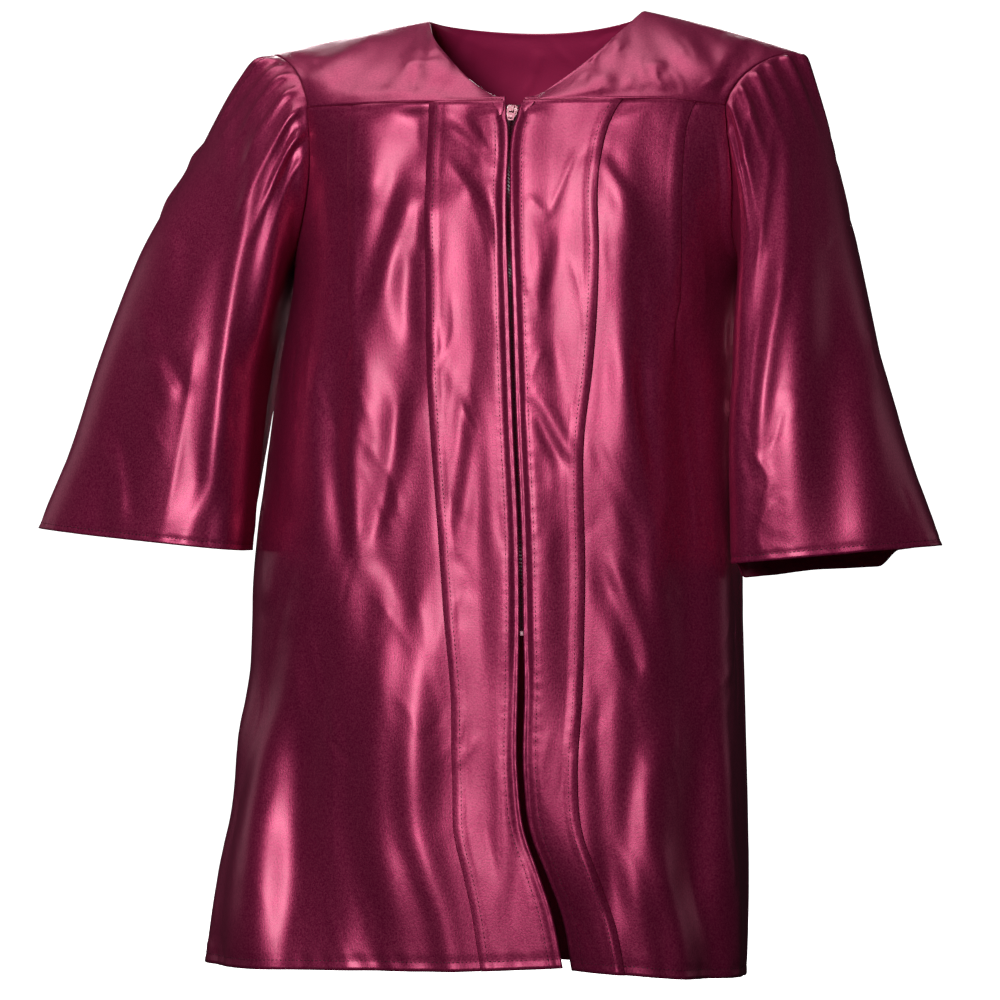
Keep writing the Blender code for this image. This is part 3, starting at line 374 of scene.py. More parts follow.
def shell(name, grid, outward, material, wraps=False, thickness=cloth["thickness"]):
    # A thin closed shell round a grid of points; outward is 1 or -1 times the grid's own normals
    rows, columns = grid.shape[:2]
    away = gridNormals(grid, wraps) * outward * thickness / 2
    points = np.concatenate([(grid + away).reshape(-1, 3), (grid - away).reshape(-1, 3)])
    index = np.arange(rows * columns).reshape(rows, columns)
    if wraps:
        index = np.concatenate([index, index[:, :1]], axis=1)
    around = (index[:-1, :-1], index[1:, :-1], index[1:, 1:], index[:-1, 1:])
    quads = np.stack(around, axis=-1).reshape(-1, 4)
    faces = [quads, quads[:, ::-1] + rows * columns]
    borders = [index[0], index[-1][::-1]]
    if not wraps:
        borders += [index[::-1, 0], index[:, -1]]
    for line in borders:
        first, second = line[:-1], line[1:]
        faces.append(np.stack([first, second, second + rows * columns, first + rows * columns], axis=-1))
    faces = np.concatenate(faces)
    if outward > 0:  # the winding above faces along the grid's own normals
        faces = faces[:, ::-1]
    mesh = bpy.data.meshes.new(name)
    mesh.from_pydata(points.tolist(), [], faces.tolist())
    mesh.update()
    mesh.shade_smooth()
    wrong = mesh.attributes.new("wrongSide", "FLOAT", "POINT")
    wrong.data.foreach_set("value", np.repeat([0.0, 1.0], rows * columns))
    along, down = reaches(grid, 1), reaches(grid)
    flat = np.tile(np.stack([along, down], axis=-1).reshape(-1, 2), (2, 1))
    corners = np.zeros(len(mesh.loops), dtype=np.int32)
    mesh.loops.foreach_get("vertex_index", corners)
    mesh.uv_layers.new(name="UVMap").data.foreach_set("uv", flat[corners].ravel())
    mesh.materials.append(material)
    print(name, len(faces) * 2, "triangles, cut", round(float(along[:, -1].max()), 3), "x",
          round(float(down[-1].max()), 3), "m, cloth", round(oneSide(grid, wraps), 4), "m2")
    return linked(name, mesh)


def oneSide(grid, wraps):
    # Area of one side of the cloth
    if wraps:
        grid = np.concatenate([grid, grid[:, :1]], axis=1)
    first = grid[1:, 1:] - grid[:-1, :-1]
    second = grid[1:, :-1] - grid[:-1, 1:]
    return float(np.linalg.norm(np.cross(first, second), axis=2).sum() / 2)


turnedRows = {"shares": (0.35, 0.7, 1.0), "bend": 1.4}


def turnedUnder(grid, outward, allowance, wraps=False, normals=None):
    # Adds a seam allowance, its reach and depth, past a grid's first row and behind the next piece
    if normals is None:
        normals = gridNormals(grid, wraps) * outward
    reach, depth = allowance
    along = grid[0] - grid[1]
    along = along / np.linalg.norm(along, axis=1, keepdims=True)
    turned = [grid[0] + along * reach * share - normals[0] * depth * smooth(share * turnedRows["bend"])
              for share in turnedRows["shares"]]
    return np.concatenate([np.array(turned[::-1]), grid])


def rowsAbove(grid, distance):
    # For each column, the fractional row that lies a distance above the bottom edge
    reach = reaches(grid[::-1])
    rows = np.arange(len(grid), dtype=float)
    return len(grid) - 1 - np.array([np.interp(distance, column, rows) for column in reach.T])


sewnLines = []  # every row of stitches, as points on the cloth
hemSeams = {  # stitches along a bottom edge: how far above it, and how they draw the cloth in
    "hem": {"above": 0.0075, "depth": 0.0006, "width": 0.0028, "pitch": 0.016},
    "cuff": {"above": 0.0050, "depth": 0.0005, "width": 0.0024, "pitch": 0.015},
}


def sew(grid, outward, rowAt, columnAt, wraps=False):
    # A row of stitches at fractional rows and columns of a grid, just off the cloth's outer face
    normals = gridNormals(grid, wraps) * outward
    raised = grid + normals * (cloth["thickness"] / 2 + cloth["threadLift"])
    if wraps:
        raised = np.concatenate([raised, raised[:, :1]], axis=1)
    rowAt, columnAt = np.broadcast_arrays(np.asarray(rowAt, float), np.asarray(columnAt, float))
    row = np.clip(rowAt.astype(int), 0, raised.shape[0] - 2)
    column = np.clip(columnAt.astype(int), 0, raised.shape[1] - 2)
    down, over = (rowAt - row)[:, None], (columnAt - column)[:, None]
    upper = raised[row, column] * (1 - over) + raised[row, column + 1] * over
    lower = raised[row + 1, column] * (1 - over) + raised[row + 1, column + 1] * over
    sewnLines.append(upper * (1 - down) + lower * down)


def sewHem(grid, outward, seam, wraps=False):
    rows = rowsAbove(grid, hemSeams[seam]["above"])
    if wraps:
        rows = np.append(rows, rows[0])
    sew(grid, outward, rows, np.arange(len(rows), dtype=float), wraps)


def hemPucker(grid, seam, rowHeight, across, seed):
    seam = hemSeams[seam]
    toSeam = (np.arange(grid.shape[0])[:, None] - rowsAbove(grid, seam["above"])[None, :]) * rowHeight
    return pucker(toSeam, across, seed, seam["depth"], seam["width"], seam["pitch"])


# Node trees

def plug(tree, slot, value):
    if isinstance(value, Wire):
        tree.links.new(value.socket, slot)
    else:
        slot.default_value = value


class Wire:
    # One output socket of a node; sums on it add Math nodes
    def __init__(self, tree, socket):
        self.tree = tree
        self.socket = socket

    def maths(self, operation, *values):
        node = self.tree.nodes.new("ShaderNodeMath")
        node.operation = operation
        for slot, value in zip(node.inputs, values):
            plug(self.tree, slot, value)
        return Wire(self.tree, node.outputs[0])

    def __add__(self, other):
        return self.maths("ADD", self, other)

    def __radd__(self, other):
        return self.maths("ADD", other, self)

    def __sub__(self, other):
        return self.maths("SUBTRACT", self, other)

    def __rsub__(self, other):
        return self.maths("SUBTRACT", other, self)

    def __mul__(self, other):
        return self.maths("MULTIPLY", self, other)


class Wiring:
    # A tree to add nodes to and, in a material, the shader that they feed
    def __init__(self, tree):
        self.tree = tree

    def add(self, kind, settings=None, values=None, output=0):
        node = self.tree.nodes.new(kind)
        for name, value in (settings or {}).items():
            setattr(node, name, value)
        for key, value in (values or {}).items():
            plug(self.tree, node.inputs[key], value)
        return Wire(self.tree, node.outputs[output])

    def spots(self):
        # The object's own coordinates
        return self.add("ShaderNodeTexCoord", output=3)

    def noise(self, spots, scale, detail):
        return self.add("ShaderNodeTexNoise", {}, {"Vector": spots, "Scale": scale, "Detail": detail})

    def span(self, value, limits):
        # 0 at the lower limit and 1 at the upper one
        values = {"Value": value, "From Min": limits[0], "From Max": limits[1]}
        return self.add("ShaderNodeMapRange", {}, values)

    def mixColours(self, factor, first, second):
        # Sockets 0, 6 and 7 and output 2 are the node's colour ones
        return self.add("ShaderNodeMix", {"data_type": "RGBA"}, {0: factor, 6: first, 7: second}, 2)

    def feed(self, key, value):
        plug(self.tree, self.tree.nodes["Principled BSDF"].inputs[key], value)

    def relief(self, strength, distance, height):
        values = {"Strength": strength, "Distance": distance, "Height": height}
        self.feed("Normal", self.add("ShaderNodeBump", {}, values))


def finish(name, constants):
    # A material with its constants on the shader itself, and its wiring
    material = bpy.data.materials.new(name)
    material.use_nodes = True
    nodes = Wiring(material.node_tree)
    for key, value in constants.items():
        nodes.feed(key, value)
    return material, nodes


satinLook = {
    "shader": {"Specular IOR Level": 0.2, "Coat Weight": 0.6, "Coat Roughness": 0.31},
    "face": (0.37, 0.0035, 0.090, 1),
    "deep": (0.29, 0.0018, 0.070, 1),
    "fleck": (0.60, 0.075, 0.190, 1),
    "speckle": 0.65,
    "speckleRange": (0.3, 0.7),
    "wrongSide": (0.620, 0.030, 0.150, 1),
    "metallic": 0.64,
    "wrongMetallic": 0.4,  # less by this share on the wrong side
    "roughness": 0.42,
    "grainRough": 0.16,
    "cloudRough": 0.10,
    "wrongRough": 0.15,
    "grainScale": 760.0,  # features to the metre
    "threadScale": 900.0,
    "stretch": (1.0, 0.12, 1.0),
    "cloudScale": 24.0,
    "grainHeight": 0.7,
    "threadHeight": 0.5,
    "grainStrength": 0.35,
    "grainDepth": 0.00042,
}


def makeSatin():
    look = satinLook
    material, nodes = finish("maroonSatin", look["shader"])
    spots = nodes.spots()
    flat = nodes.add("ShaderNodeUVMap", {"uv_map": "UVMap"})
    wrong = nodes.add("ShaderNodeAttribute", {"attribute_name": "wrongSide"}, output=2)
    clouds = nodes.noise(spots, look["cloudScale"], 3.0)
    grain = nodes.noise(spots, look["grainScale"], 2.0)
    values = {0: flat, 1: look["stretch"]}
    stretched = nodes.add("ShaderNodeVectorMath", {"operation": "MULTIPLY"}, values)
    threads = nodes.noise(stretched, look["threadScale"], 2.0)
    colour = nodes.mixColours(clouds, look["face"], look["deep"])
    speckle = nodes.span(grain, look["speckleRange"])
    colour = nodes.mixColours(speckle * look["speckle"], colour, look["fleck"])
    nodes.feed("Base Color", nodes.mixColours(wrong, colour, look["wrongSide"]))
    rough = look["roughness"] + (grain - 0.5) * look["grainRough"] + (clouds - 0.5) * look["cloudRough"]
    nodes.feed("Roughness", rough + wrong * look["wrongRough"])
    nodes.feed("Metallic", (1 - wrong * look["wrongMetallic"]) * look["metallic"])
    height = grain * look["grainHeight"] + threads * look["threadHeight"]
    nodes.relief(look["grainStrength"], look["grainDepth"], height)
    return material


tapeLook = {
    "colour": (0.080, 0.006, 0.024, 1),
    "dark": (0.040, 0.003, 0.012, 1),
    "roughness": 0.7,
    "waves": (("DIAGONAL", 260.0, 0.6), ("Z", 182.0, 0.4)),  # their scales and shares
    "strength": 0.6,
    "depth": 0.0002,
}


def makeWoven():
    # The narrow woven tape: a twill of fine ribs from two waves
    look = tapeLook
    material, nodes = finish("zipTapeWeave", {"Roughness": look["roughness"]})
    weave = 0.0
    for direction, scale, share in look["waves"]:
        values = {"Vector": nodes.spots(), "Scale": scale}
        weave = nodes.add("ShaderNodeTexWave", {"bands_direction": direction}, values) * share + weave
    nodes.feed("Base Color", nodes.mixColours(weave, look["dark"], look["colour"]))
    nodes.relief(look["strength"], look["depth"], weave)
    return material


# The thread is darker than the satin it matches: painted shade, so each row of stitches reads as a
# dotted dark line
shadedThreadLook = {
    "colour": (0.085, 0.003, 0.026, 1),
    "dark": (0.04675, 0.00165, 0.0143, 1),
    "roughness": 0.55,
    "scale": 700.0,
}


def makeThread():
    look = shadedThreadLook
    # painted shade: the thread's colours stand darker than its real maroon
    material, nodes = finish("maroonThread", {"Roughness": look["roughness"], "Metallic": 0.0})
    twist = nodes.noise(nodes.spots(), look["scale"], 1.0)
    nodes.feed("Base Color", nodes.mixColours(twist, look["dark"], look["colour"]))
    return material


enamelLook = {"shader": {"Coat Weight": 0.25, "Coat Roughness": 0.2}, "scale": 420.0,
              "wearRange": (0.52, 0.68), "wornMetallic": 0.7, "roughSpread": 0.2}
enamels = {  # colour, colour where worn, metallic, roughness
    "zipTooth": ((0.055, 0.006, 0.018, 1), (0.12, 0.02, 0.045, 1), 0.1, 0.45),
    "sliderEnamel": ((0.42, 0.16, 0.20, 1), (0.62, 0.56, 0.56, 1), 0.55, 0.30),
    "tabEnamel": ((0.62, 0.20, 0.28, 1), (0.70, 0.48, 0.50, 1), 0.30, 0.34),
    "stopMetal": ((0.26, 0.10, 0.14, 1), (0.42, 0.30, 0.32, 1), 0.80, 0.38),
}


def makeEnamel(name):
    # Painted metal or plastic, worn in small patches
    look = enamelLook
    colour, worn, metallic, roughness = enamels[name]
    material, nodes = finish(name, look["shader"])
    patches = nodes.noise(nodes.spots(), look["scale"], 3.0)
    wear = nodes.span(patches, look["wearRange"])
    nodes.feed("Base Color", nodes.mixColours(wear, colour, worn))
    nodes.feed("Metallic", metallic + wear * (1 - metallic) * look["wornMetallic"])
    nodes.feed("Roughness", roughness + (patches - 0.5) * look["roughSpread"])
    return material


satin = makeSatin()
tapeCloth = makeWoven()
thread = makeThread()
toothPlastic, sliderEnamel, tabEnamel, stopMetal = (makeEnamel(name) for name in enamels)
print("finishes made")

frontPanel = {
    "rows": 228,
    "columns": (40, 26, 62),  # zip to tuck, tuck to pleat, pleat to side
    "layer": 0.0011,  # from one folded layer to the next
    "tuckFlap": 0.0055,
    "pleatFlap": 0.0060,
    "turn": 0.0011,
    "pleatShare": 0.6,
    "foldRise": 0.020,  # the cloth beside a fold rises or sinks to it over this distance
    "zipCalm": (0.012, 0.042),
    "zipEnd": 0.4600,
    "flyStitch": 0.0098,  # from the panel's edge to the row of stitches beside the zip
    # the cloth stands up along that row, and less so below the zip
    "flyBand": {"starts": 0.002, "top": 0.0090, "fade": 0.024, "height": 0.0027,
                "less": 0.6, "lessOver": 0.05},
    # the turned edge beside the zip stands out, with small ripples
    "edgeRoll": {"height": 0.0009, "at": 0.0012, "width": 0.0014, "ripple": 0.15, "ripples": 420,
                 "starts": 0.11, "over": 0.05},
    "edgeCalm": 0.007,
    "pressed": {"over": 0.016, "offset": 0.002, "halfWidth": 0.007},
    "calmBelowZip": 0.6,
    "turnedInCurve": 1.2,
    "allowance": (0.0034, 0.0024),
    "crinkles": {"count": 130, "low": (0.0, 0.06), "high": (0.32, 0.72), "lengths": (0.030, 0.100),
                 "widths": (0.0025, 0.0070), "heights": (0.0001, 0.0004), "slant": 0.35},
    "tuckStitch": -0.0012,  # from the stitch line of the tuck's own fold
    "tuckDraw": 0.5,  # how much of a pucker that row makes
    "tuckColumns": 9,  # columns past the near ones that the rows of stitches are looked for in
    "flyRows": (6, None),  # the grid's rows that the stitches beside the zip run through
    "tuckRows": (1, -3),  # and along the tuck
    "foldDetail": 4,  # points from one column of a fold to the next
    "foldShare": (0.4, 0.75),  # of the large folds above the hem and at it; the streaks take over
    "seamFall": {"amount": 0.005, "start": 0.110, "span": 0.070, "fade": 0.050},
}

pleatLevels = (0.205, 0.226, 0.240, 0.280)  # stitched above the first; then short, a step and flat
foldColumns = (  # across a fold: layer and distance from the stitch line, when short, as a step and flat
    ((0.8, -0.0060), (0.8, -0.0080), (0.0, -0.0120)),
    ((1.0, -0.0020), (1.0, -0.0040), (0.0, -0.0080)),
    ((1.0, 0.0004), (1.0, -0.0009), (0.0, -0.0040)),
    ((0.5, 0.0013), (0.6, 0.0001), (0.0, -0.0010)),
    ((0.05, 0.0010), (0.2, 0.0005), (0.0, 0.0020)),
    ((-0.05, 0.0002), (-0.2, 0.0007), (0.0, 0.0050)),
    ((-0.5, -0.0002), (-0.6, 0.0011), (0.0, 0.0080)),
    ((-1.0, 0.0007), (-1.0, 0.0021), (0.0, 0.0120)),
    ((-0.8, 0.0050), (-0.8, 0.0080), (0.0, 0.0160)),
)

foldLines = {  # distances of the tucks' and pleats' stitch lines from the zip
    "drop": (0.053, 0.070, 0.100, 0.170, 0.260, 0.310, 0.430, 0.530, 0.590, 0.640, 0.690, 0.722),
    "leftTuck": (0.062, 0.061, 0.061, 0.061, 0.062, 0.061, 0.056, 0.048, 0.048, 0.054, 0.060, 0.061),
    "rightTuck": (0.078, 0.071, 0.065, 0.063, 0.055, 0.047, 0.043, 0.040, 0.037, 0.037, 0.038, 0.038),
    "leftPleat": (0.126, 0.126, 0.126, 0.127, 0.130, 0.133, 0.139, 0.143, 0.146, 0.150, 0.155, 0.157),
    "rightPleat": (0.134, 0.130, 0.128, 0.128, 0.126, 0.124, 0.125, 0.125, 0.125, 0.125, 0.126, 0.126),
}

frontFolds = {  # large folds: drops of the ends, distances from the zip there, half width, height
    left: (
        (0.060, 0.330, 0.108, 0.132, 0.022, 0.0060),
        (0.120, 0.300, 0.082, 0.088, 0.016, -0.0060),
        (0.260, 0.730, 0.140, 0.245, 0.028, 0.0090),
        (0.300, 0.730, 0.100, 0.160, 0.024, -0.0080),
        (0.400, 0.730, 0.185, 0.320, 0.026, -0.0080),
        (0.480, 0.730, 0.080, 0.095, 0.020, 0.0070),
    ),
    right: (
        (0.080, 0.420, 0.092, 0.078, 0.014, 0.0050),
        (0.150, 0.730, 0.112, 0.088, 0.016, 0.0080),
        (0.140, 0.730, 0.142, 0.124, 0.020, -0.0085),
        (0.240, 0.730, 0.176, 0.166, 0.020, 0.0075),
    ),
}

turnedIn = {"drop": (0.500, 0.580, 0.640, 0.680, 0.722), "depth": (0.000, 0.003, 0.014, 0.026, 0.036)}

hemLine = {  # the hem's drop by distance from the zip
    "distance": (0.000, 0.040, 0.090, 0.160, 0.340),
    "left": (0.7165, 0.7185, 0.7205, 0.7215, 0.7270),
    "right": (0.7215, 0.7225, 0.7270, 0.7310, 0.7325),
}
backHem = 0.7345

# Seen from the front: path in the picture, half width there, and degrees that the cloth is turned
frontStreaks = {
    left: (
        (((408, 140), (398, 205), (380, 262), (362, 340)), 11, -22),
        (((424, 196), (423, 258)), 6, -16),
        (((438, 146), (462, 172), (486, 208), (498, 266)), 8, -16),
        (((357, 375), (346, 440), (346, 500), (356, 590)), 10, -20),
        (((413, 370), (402, 430), (393, 490), (375, 560)), 10, -20),
        (((474, 365), (464, 460), (450, 560)), 9, -16),
        (((300, 340), (284, 420), (278, 530)), 14, -15),
        (((350, 560), (345, 690), (350, 800), (365, 990)), 42, -22),
        (((263, 660), (264, 770), (262, 880), (258, 1010)), 20, 36),
        (((424, 640), (430, 730), (440, 830)), 20, 8),
        (((388, 90), (392, 150), (394, 215)), 27, 15),
        (((438, 114), (460, 132), (482, 152), (496, 176)), 7, 12),
        (((404, 240), (400, 300), (404, 355)), 9, 10),
        (((334, 310), (326, 380), (324, 440), (330, 500), (334, 580)), 11, 14),
        (((372, 340), (384, 420), (398, 500)), 12, 10),
        (((438, 305), (440, 360), (438, 420)), 7, 8),
        (((492, 385), (494, 480), (498, 580)), 7, 8),
        (((300, 520), (284, 570), (276, 620)), 12, 14),
        (((368, 548), (388, 590), (404, 630)), 10, 8),
        (((508, 726), (512, 820), (508, 935)), 9, 10),
    ),
    right: (
        (((549, 216), (553, 250), (540, 310)), 6, 7),
        (((626, 95), (642, 240), (654, 570)), 30, 13),
        (((690, 100), (700, 250), (704, 400)), 20, 14),
        (((528, 385), (550, 430), (575, 474)), 7, -16),
        (((631, 335), (640, 420), (654, 495)), 7, 18),
        (((600, 546), (626, 610), (654, 695)), 8, -18),
        (((692, 680), (684, 800), (668, 950)), 16, 18),
        (((588, 685), (596, 800), (600, 950)), 11, 14),
        (((556, 470), (560, 600), (556, 760)), 16, 8),
        (((560, 104), (562, 180), (556, 240), (550, 340)), 18, 6),
        (((597, 142), (616, 180), (645, 218)), 8, 10),
        (((602, 165), (622, 225), (640, 280), (647, 345)), 11, -6),
        (((600, 226), (607, 270), (613, 324)), 7, 4),
        (((540, 316), (556, 385), (568, 464)), 9, 8),
        (((610, 312), (620, 430), (644, 535)), 10, -6),
        (((650, 312), (660, 440), (668, 545)), 12, -14),
        (((584, 426), (615, 505), (644, 575)), 9, 6),
        (((584, 546), (604, 615), (644, 705)), 9, 6),
        (((616, 530), (655, 605), (668, 718)), 10, -10),
        (((666, 668), (655, 740), (640, 800), (616, 975)), 13, -14),
        (((712, 716), (716, 820), (704, 955)), 11, -12),
    ),
}

# Finer creases: path, half width, height in millimetres
frontCreases = {
    left: creaseList((
        (((440, 122), (462, 136), (484, 156)), 4, 0.7),
        (((436, 160), (452, 176), (470, 204)), 4, 0.5),
        (((470, 108), (484, 135), (494, 152)), 4, 0.6),
        (((470, 190), (484, 222), (492, 268)), 4, 0.5),
        (((364, 585), (392, 615), (420, 660)), 5, 0.5),
        (((410, 590), (424, 622), (430, 668)), 4, 0.4),
        (((394, 690), (412, 712), (424, 744)), 4, 0.4),
        (((450, 690), (440, 720), (420, 748)), 4, -0.3),
        (((210, 936), (214, 972)), 4, 0.8),
        (((224, 930), (226, 972)), 4, -0.7),
    )),
    right: creaseList((
        (((578, 146), (562, 185), (546, 222)), 4, 0.9),
        (((526, 194), (540, 208), (552, 220)), 4, 0.7),
        (((600, 150), (618, 182), (646, 214)), 4, 0.9),
        (((608, 122), (640, 112), (674, 104)), 4, 0.7),
        (((686, 170), (704, 245), (709, 340)), 4, 0.6),
        (((676, 320), (690, 440), (700, 570)), 4, 0.6),
        (((566, 250), (580, 290), (584, 340)), 4, 0.5),
        (((600, 430), (622, 480), (648, 520)), 4, 0.6),
        (((737, 660), (715, 692), (697, 724)), 4, 0.7),
        (((650, 740), (662, 790), (660, 850)), 4, 0.5),
    )),
}


def foldProfile(line, flap, drop=None):
    # Distance and lift through one fold that points away from the zip, rounded at its turns
    turn = frontPanel["turn"]
    stitched = (
        (0.8, foldColumns[0][0][1]), (1.35, 0.0), (0.55, flap - turn), (0.15, flap),
        (-0.35, flap - turn), (-0.35, turn), (-0.75, 0.0), (-1.2, turn),
        (-0.8, flap + foldColumns[-1][0][1]),
    )
    places = []
    for first, later in zip(stitched, foldColumns):
        states = (first, *later)
        if drop is None:
            places.append(first)
        else:
            places.append([np.interp(drop, pleatLevels, [state[i] for state in states]) for i in (0, 1)])
    places = np.array(places, float) * (frontPanel["layer"], 1.0)
    steps = np.linalg.norm(np.diff(places, axis=0), axis=1)
    keys = np.concatenate([[0.0], np.cumsum(np.sqrt(steps))])
    table = {"key": keys, "layer": places[:, 0], "distance": places[:, 1]}
    last = len(keys) - 1
    at = np.interp(np.linspace(0, last, last * frontPanel["foldDetail"] + 1), np.arange(last + 1), keys)
    return line + read(table, "distance", at), read(table, "layer", at)


def nearFold(offset):
    # From 0 at a distance before a fold to 1 at it
    return smooth(1 + offset / frontPanel["foldRise"])


def frontStations(side, drop, length):
    name = sideNames[side]
    tuck = read(foldLines, name + "Tuck", drop)
    pleat = read(foldLines, name + "Pleat", drop)
    start = read(zipLine, "halfGap", drop)
    tuckPart = foldProfile(tuck, frontPanel["tuckFlap"])
    pleatPart = foldProfile(pleat, frontPanel["pleatFlap"], drop)
    pleatPart = (pleatPart[0], pleatPart[1] * frontPanel["pleatShare"])
    first, second, third = frontPanel["columns"]
    near = np.linspace(start, tuckPart[0][0], first, endpoint=False)
    middle = np.linspace(tuckPart[0][-1], pleatPart[0][0], second + 1)[1:-1]
    far = np.linspace(pleatPart[0][-1], length - cloth["seamGap"] / 2, third + 1)[1:]
    distance = np.concatenate([near, tuckPart[0], middle, pleatPart[0], far])
    nearLift = tuckPart[1][0] * nearFold(near - tuckPart[0][0])
    middleLift = tuckPart[1][-1] * nearFold(tuckPart[0][-1] - middle)
    middleLift = middleLift + pleatPart[1][0] * nearFold(middle - pleatPart[0][0])
    farLift = pleatPart[1][-1] * nearFold(pleatPart[0][-1] - far)
    layers = np.concatenate([nearLift, tuckPart[1], middleLift, pleatPart[1], farLift])
    # at the yoke's seam the folds are pressed flat and lie under it
    press = frontPanel["pressed"]
    pressed = 1 - smooth((drop - cloth["frontSeam"]) / press["over"])
    beside = sum(bump(distance - line - press["offset"], press["halfWidth"]) for line in (tuck, pleat))
    layers = layers - frontPanel["layer"] * pressed * beside
    return distance, layers, tuck


def frontLift(side, distance, drop, length):
    lift = softLift(frontFolds[side], distance, drop)
    lift = lift * mix(*frontPanel["foldShare"], hemShare(drop))
    start, end = frontPanel["zipCalm"]
    calm = smooth((distance - start) / (end - start))
    lift = lift * (calm if drop < frontPanel["zipEnd"] else mix(1.0, calm, frontPanel["calmBelowZip"]))
    lift = lift * smooth((length - distance) / cloth["sideCalm"])
    if side == right:
        tuck = read(foldLines, "rightTuck", drop)
        inside = np.clip(1 - distance / tuck, 0.0, 1.0) ** frontPanel["turnedInCurve"]
        lift = lift - read(turnedIn, "depth", drop) * inside
    return lift


def frontLevel(side, distance, drop):
    level = drop + (read(hemLine, sideNames[side], distance) - cloth["hem"]) * hemShare(drop)
    if side == right:
        fall = frontPanel["seamFall"]
        out = smooth((distance - fall["start"]) / fall["span"])
        level = level + fall["amount"] * out * (1 - smooth((drop - cloth["frontSeam"]) / fall["fade"]))
    return level


ahead = np.array([0.0, -1.0])  # level, out of the robe's front


def facingOf(grid, away):
    # 1 if the grid's own normals agree with a level direction out of the robe, or else -1
    own = gridNormals(grid, False)[..., :2]
    return 1 if float((own * away).sum()) > 0 else -1


def sewFront(grid, facing, flats, stitchLines):
    # The rows beside the zip, along the tuck and above the hem
    rows = np.arange(grid.shape[0], dtype=float)
    beforeTuck = frontPanel["columns"][0] + frontPanel["tuckColumns"]
    columns = np.arange(beforeTuck, dtype=float)
    fly, tuck = [], []
    for row, (edge, line) in enumerate(stitchLines):
        distance = flats[row, :beforeTuck, 0]
        fly.append(np.interp(edge + frontPanel["flyStitch"], distance, columns))
        tuck.append(np.interp(line + frontPanel["tuckStitch"], distance, columns))
    for places, (first, last) in ((fly, frontPanel["flyRows"]), (tuck, frontPanel["tuckRows"])):
        sew(grid, facing, rows[first:last], np.array(places)[first:last])
    sewHem(grid, facing, "hem")


def makeFront(side):
    panel = frontPanel
    drops = np.linspace(cloth["frontSeam"] + cloth["panelTopGap"], cloth["hem"], panel["rows"])
    points, normals, flats, calms, stitchLines = [], [], [], [], []
    for drop in drops:
        line = frontLine(side, drop)
        distance, layers, tuck = frontStations(side, drop, line.length)
        lift = layers + frontLift(side, distance, drop, line.length)
        points.append(line.at(distance, lift, frontLevel(side, distance, drop)))
        normals.append(line.normals(distance))
        calm = smooth((line.length - distance) / cloth["creaseCalm"])
        calms.append(calm * smooth((distance - distance[0]) / panel["edgeCalm"]))
        flats.append(np.stack([distance, np.full_like(distance, drop)], axis=-1))
        stitchLines.append((distance[0], tuck))
    grid, normals, flats, stitchLines = map(np.array, (points, normals, flats, stitchLines))
    topCalm = smooth((drops - drops[0]) / cloth["creaseCalm"])[:, None]
    spots = pictureSpots(grid)
    lift = streakField(spots, frontStreaks[side]) + creaseField(spots, frontCreases[side])
    lift += creaseField(flats, crinkles(seeds["front"] + side, **panel["crinkles"]))
    lift *= np.array(calms) * topCalm
    across, down = flats[..., 0], flats[..., 1]
    offset = across - stitchLines[:, 0][:, None]
    fly = pucker(offset - panel["flyStitch"], down, seeds["fly"] + side)
    shape = panel["edgeRoll"]
    roll = shape["height"] * np.exp(-(((offset - shape["at"]) / shape["width"]) ** 2))
    roll = roll * (1 - shape["ripple"] + shape["ripple"] * np.cos(down * shape["ripples"]))
    roll = roll * smooth((down - shape["starts"]) / shape["over"])
    toTuck = across - stitchLines[:, 1][:, None] - panel["tuckStitch"]
    tuckRow = pucker(toTuck, down, seeds["tuck"] + side)
    hemRow = hemPucker(grid, "hem", drops[1] - drops[0], across, seeds["frontHem"] + side)
    band = panel["flyBand"]
    ridge = smooth((offset - band["starts"]) / (band["top"] - band["starts"]))
    ridge = ridge * (1 - smooth((offset - band["top"]) / band["fade"]))
    below = smooth((down - panel["zipEnd"]) / band["lessOver"])
    ridge = ridge * band["height"] * (1 - band["less"] * below)
    lift += (ridge + fly + roll + panel["tuckDraw"] * tuckRow + hemRow) * topCalm
    grid[..., :2] += normals * lift[..., None]
    facing = facingOf(grid, normals)
    sewFront(grid, facing, flats, stitchLines)
    outwards = np.concatenate([normals, np.zeros_like(normals[..., :1])], axis=-1)
    whole = turnedUnder(grid, facing, panel["allowance"], normals=outwards)
    return shell("frontCloth." + sideNames[side], whole, facing, satin)


fronts = {side: makeFront(side) for side in (left, right)}
print("front panels made")

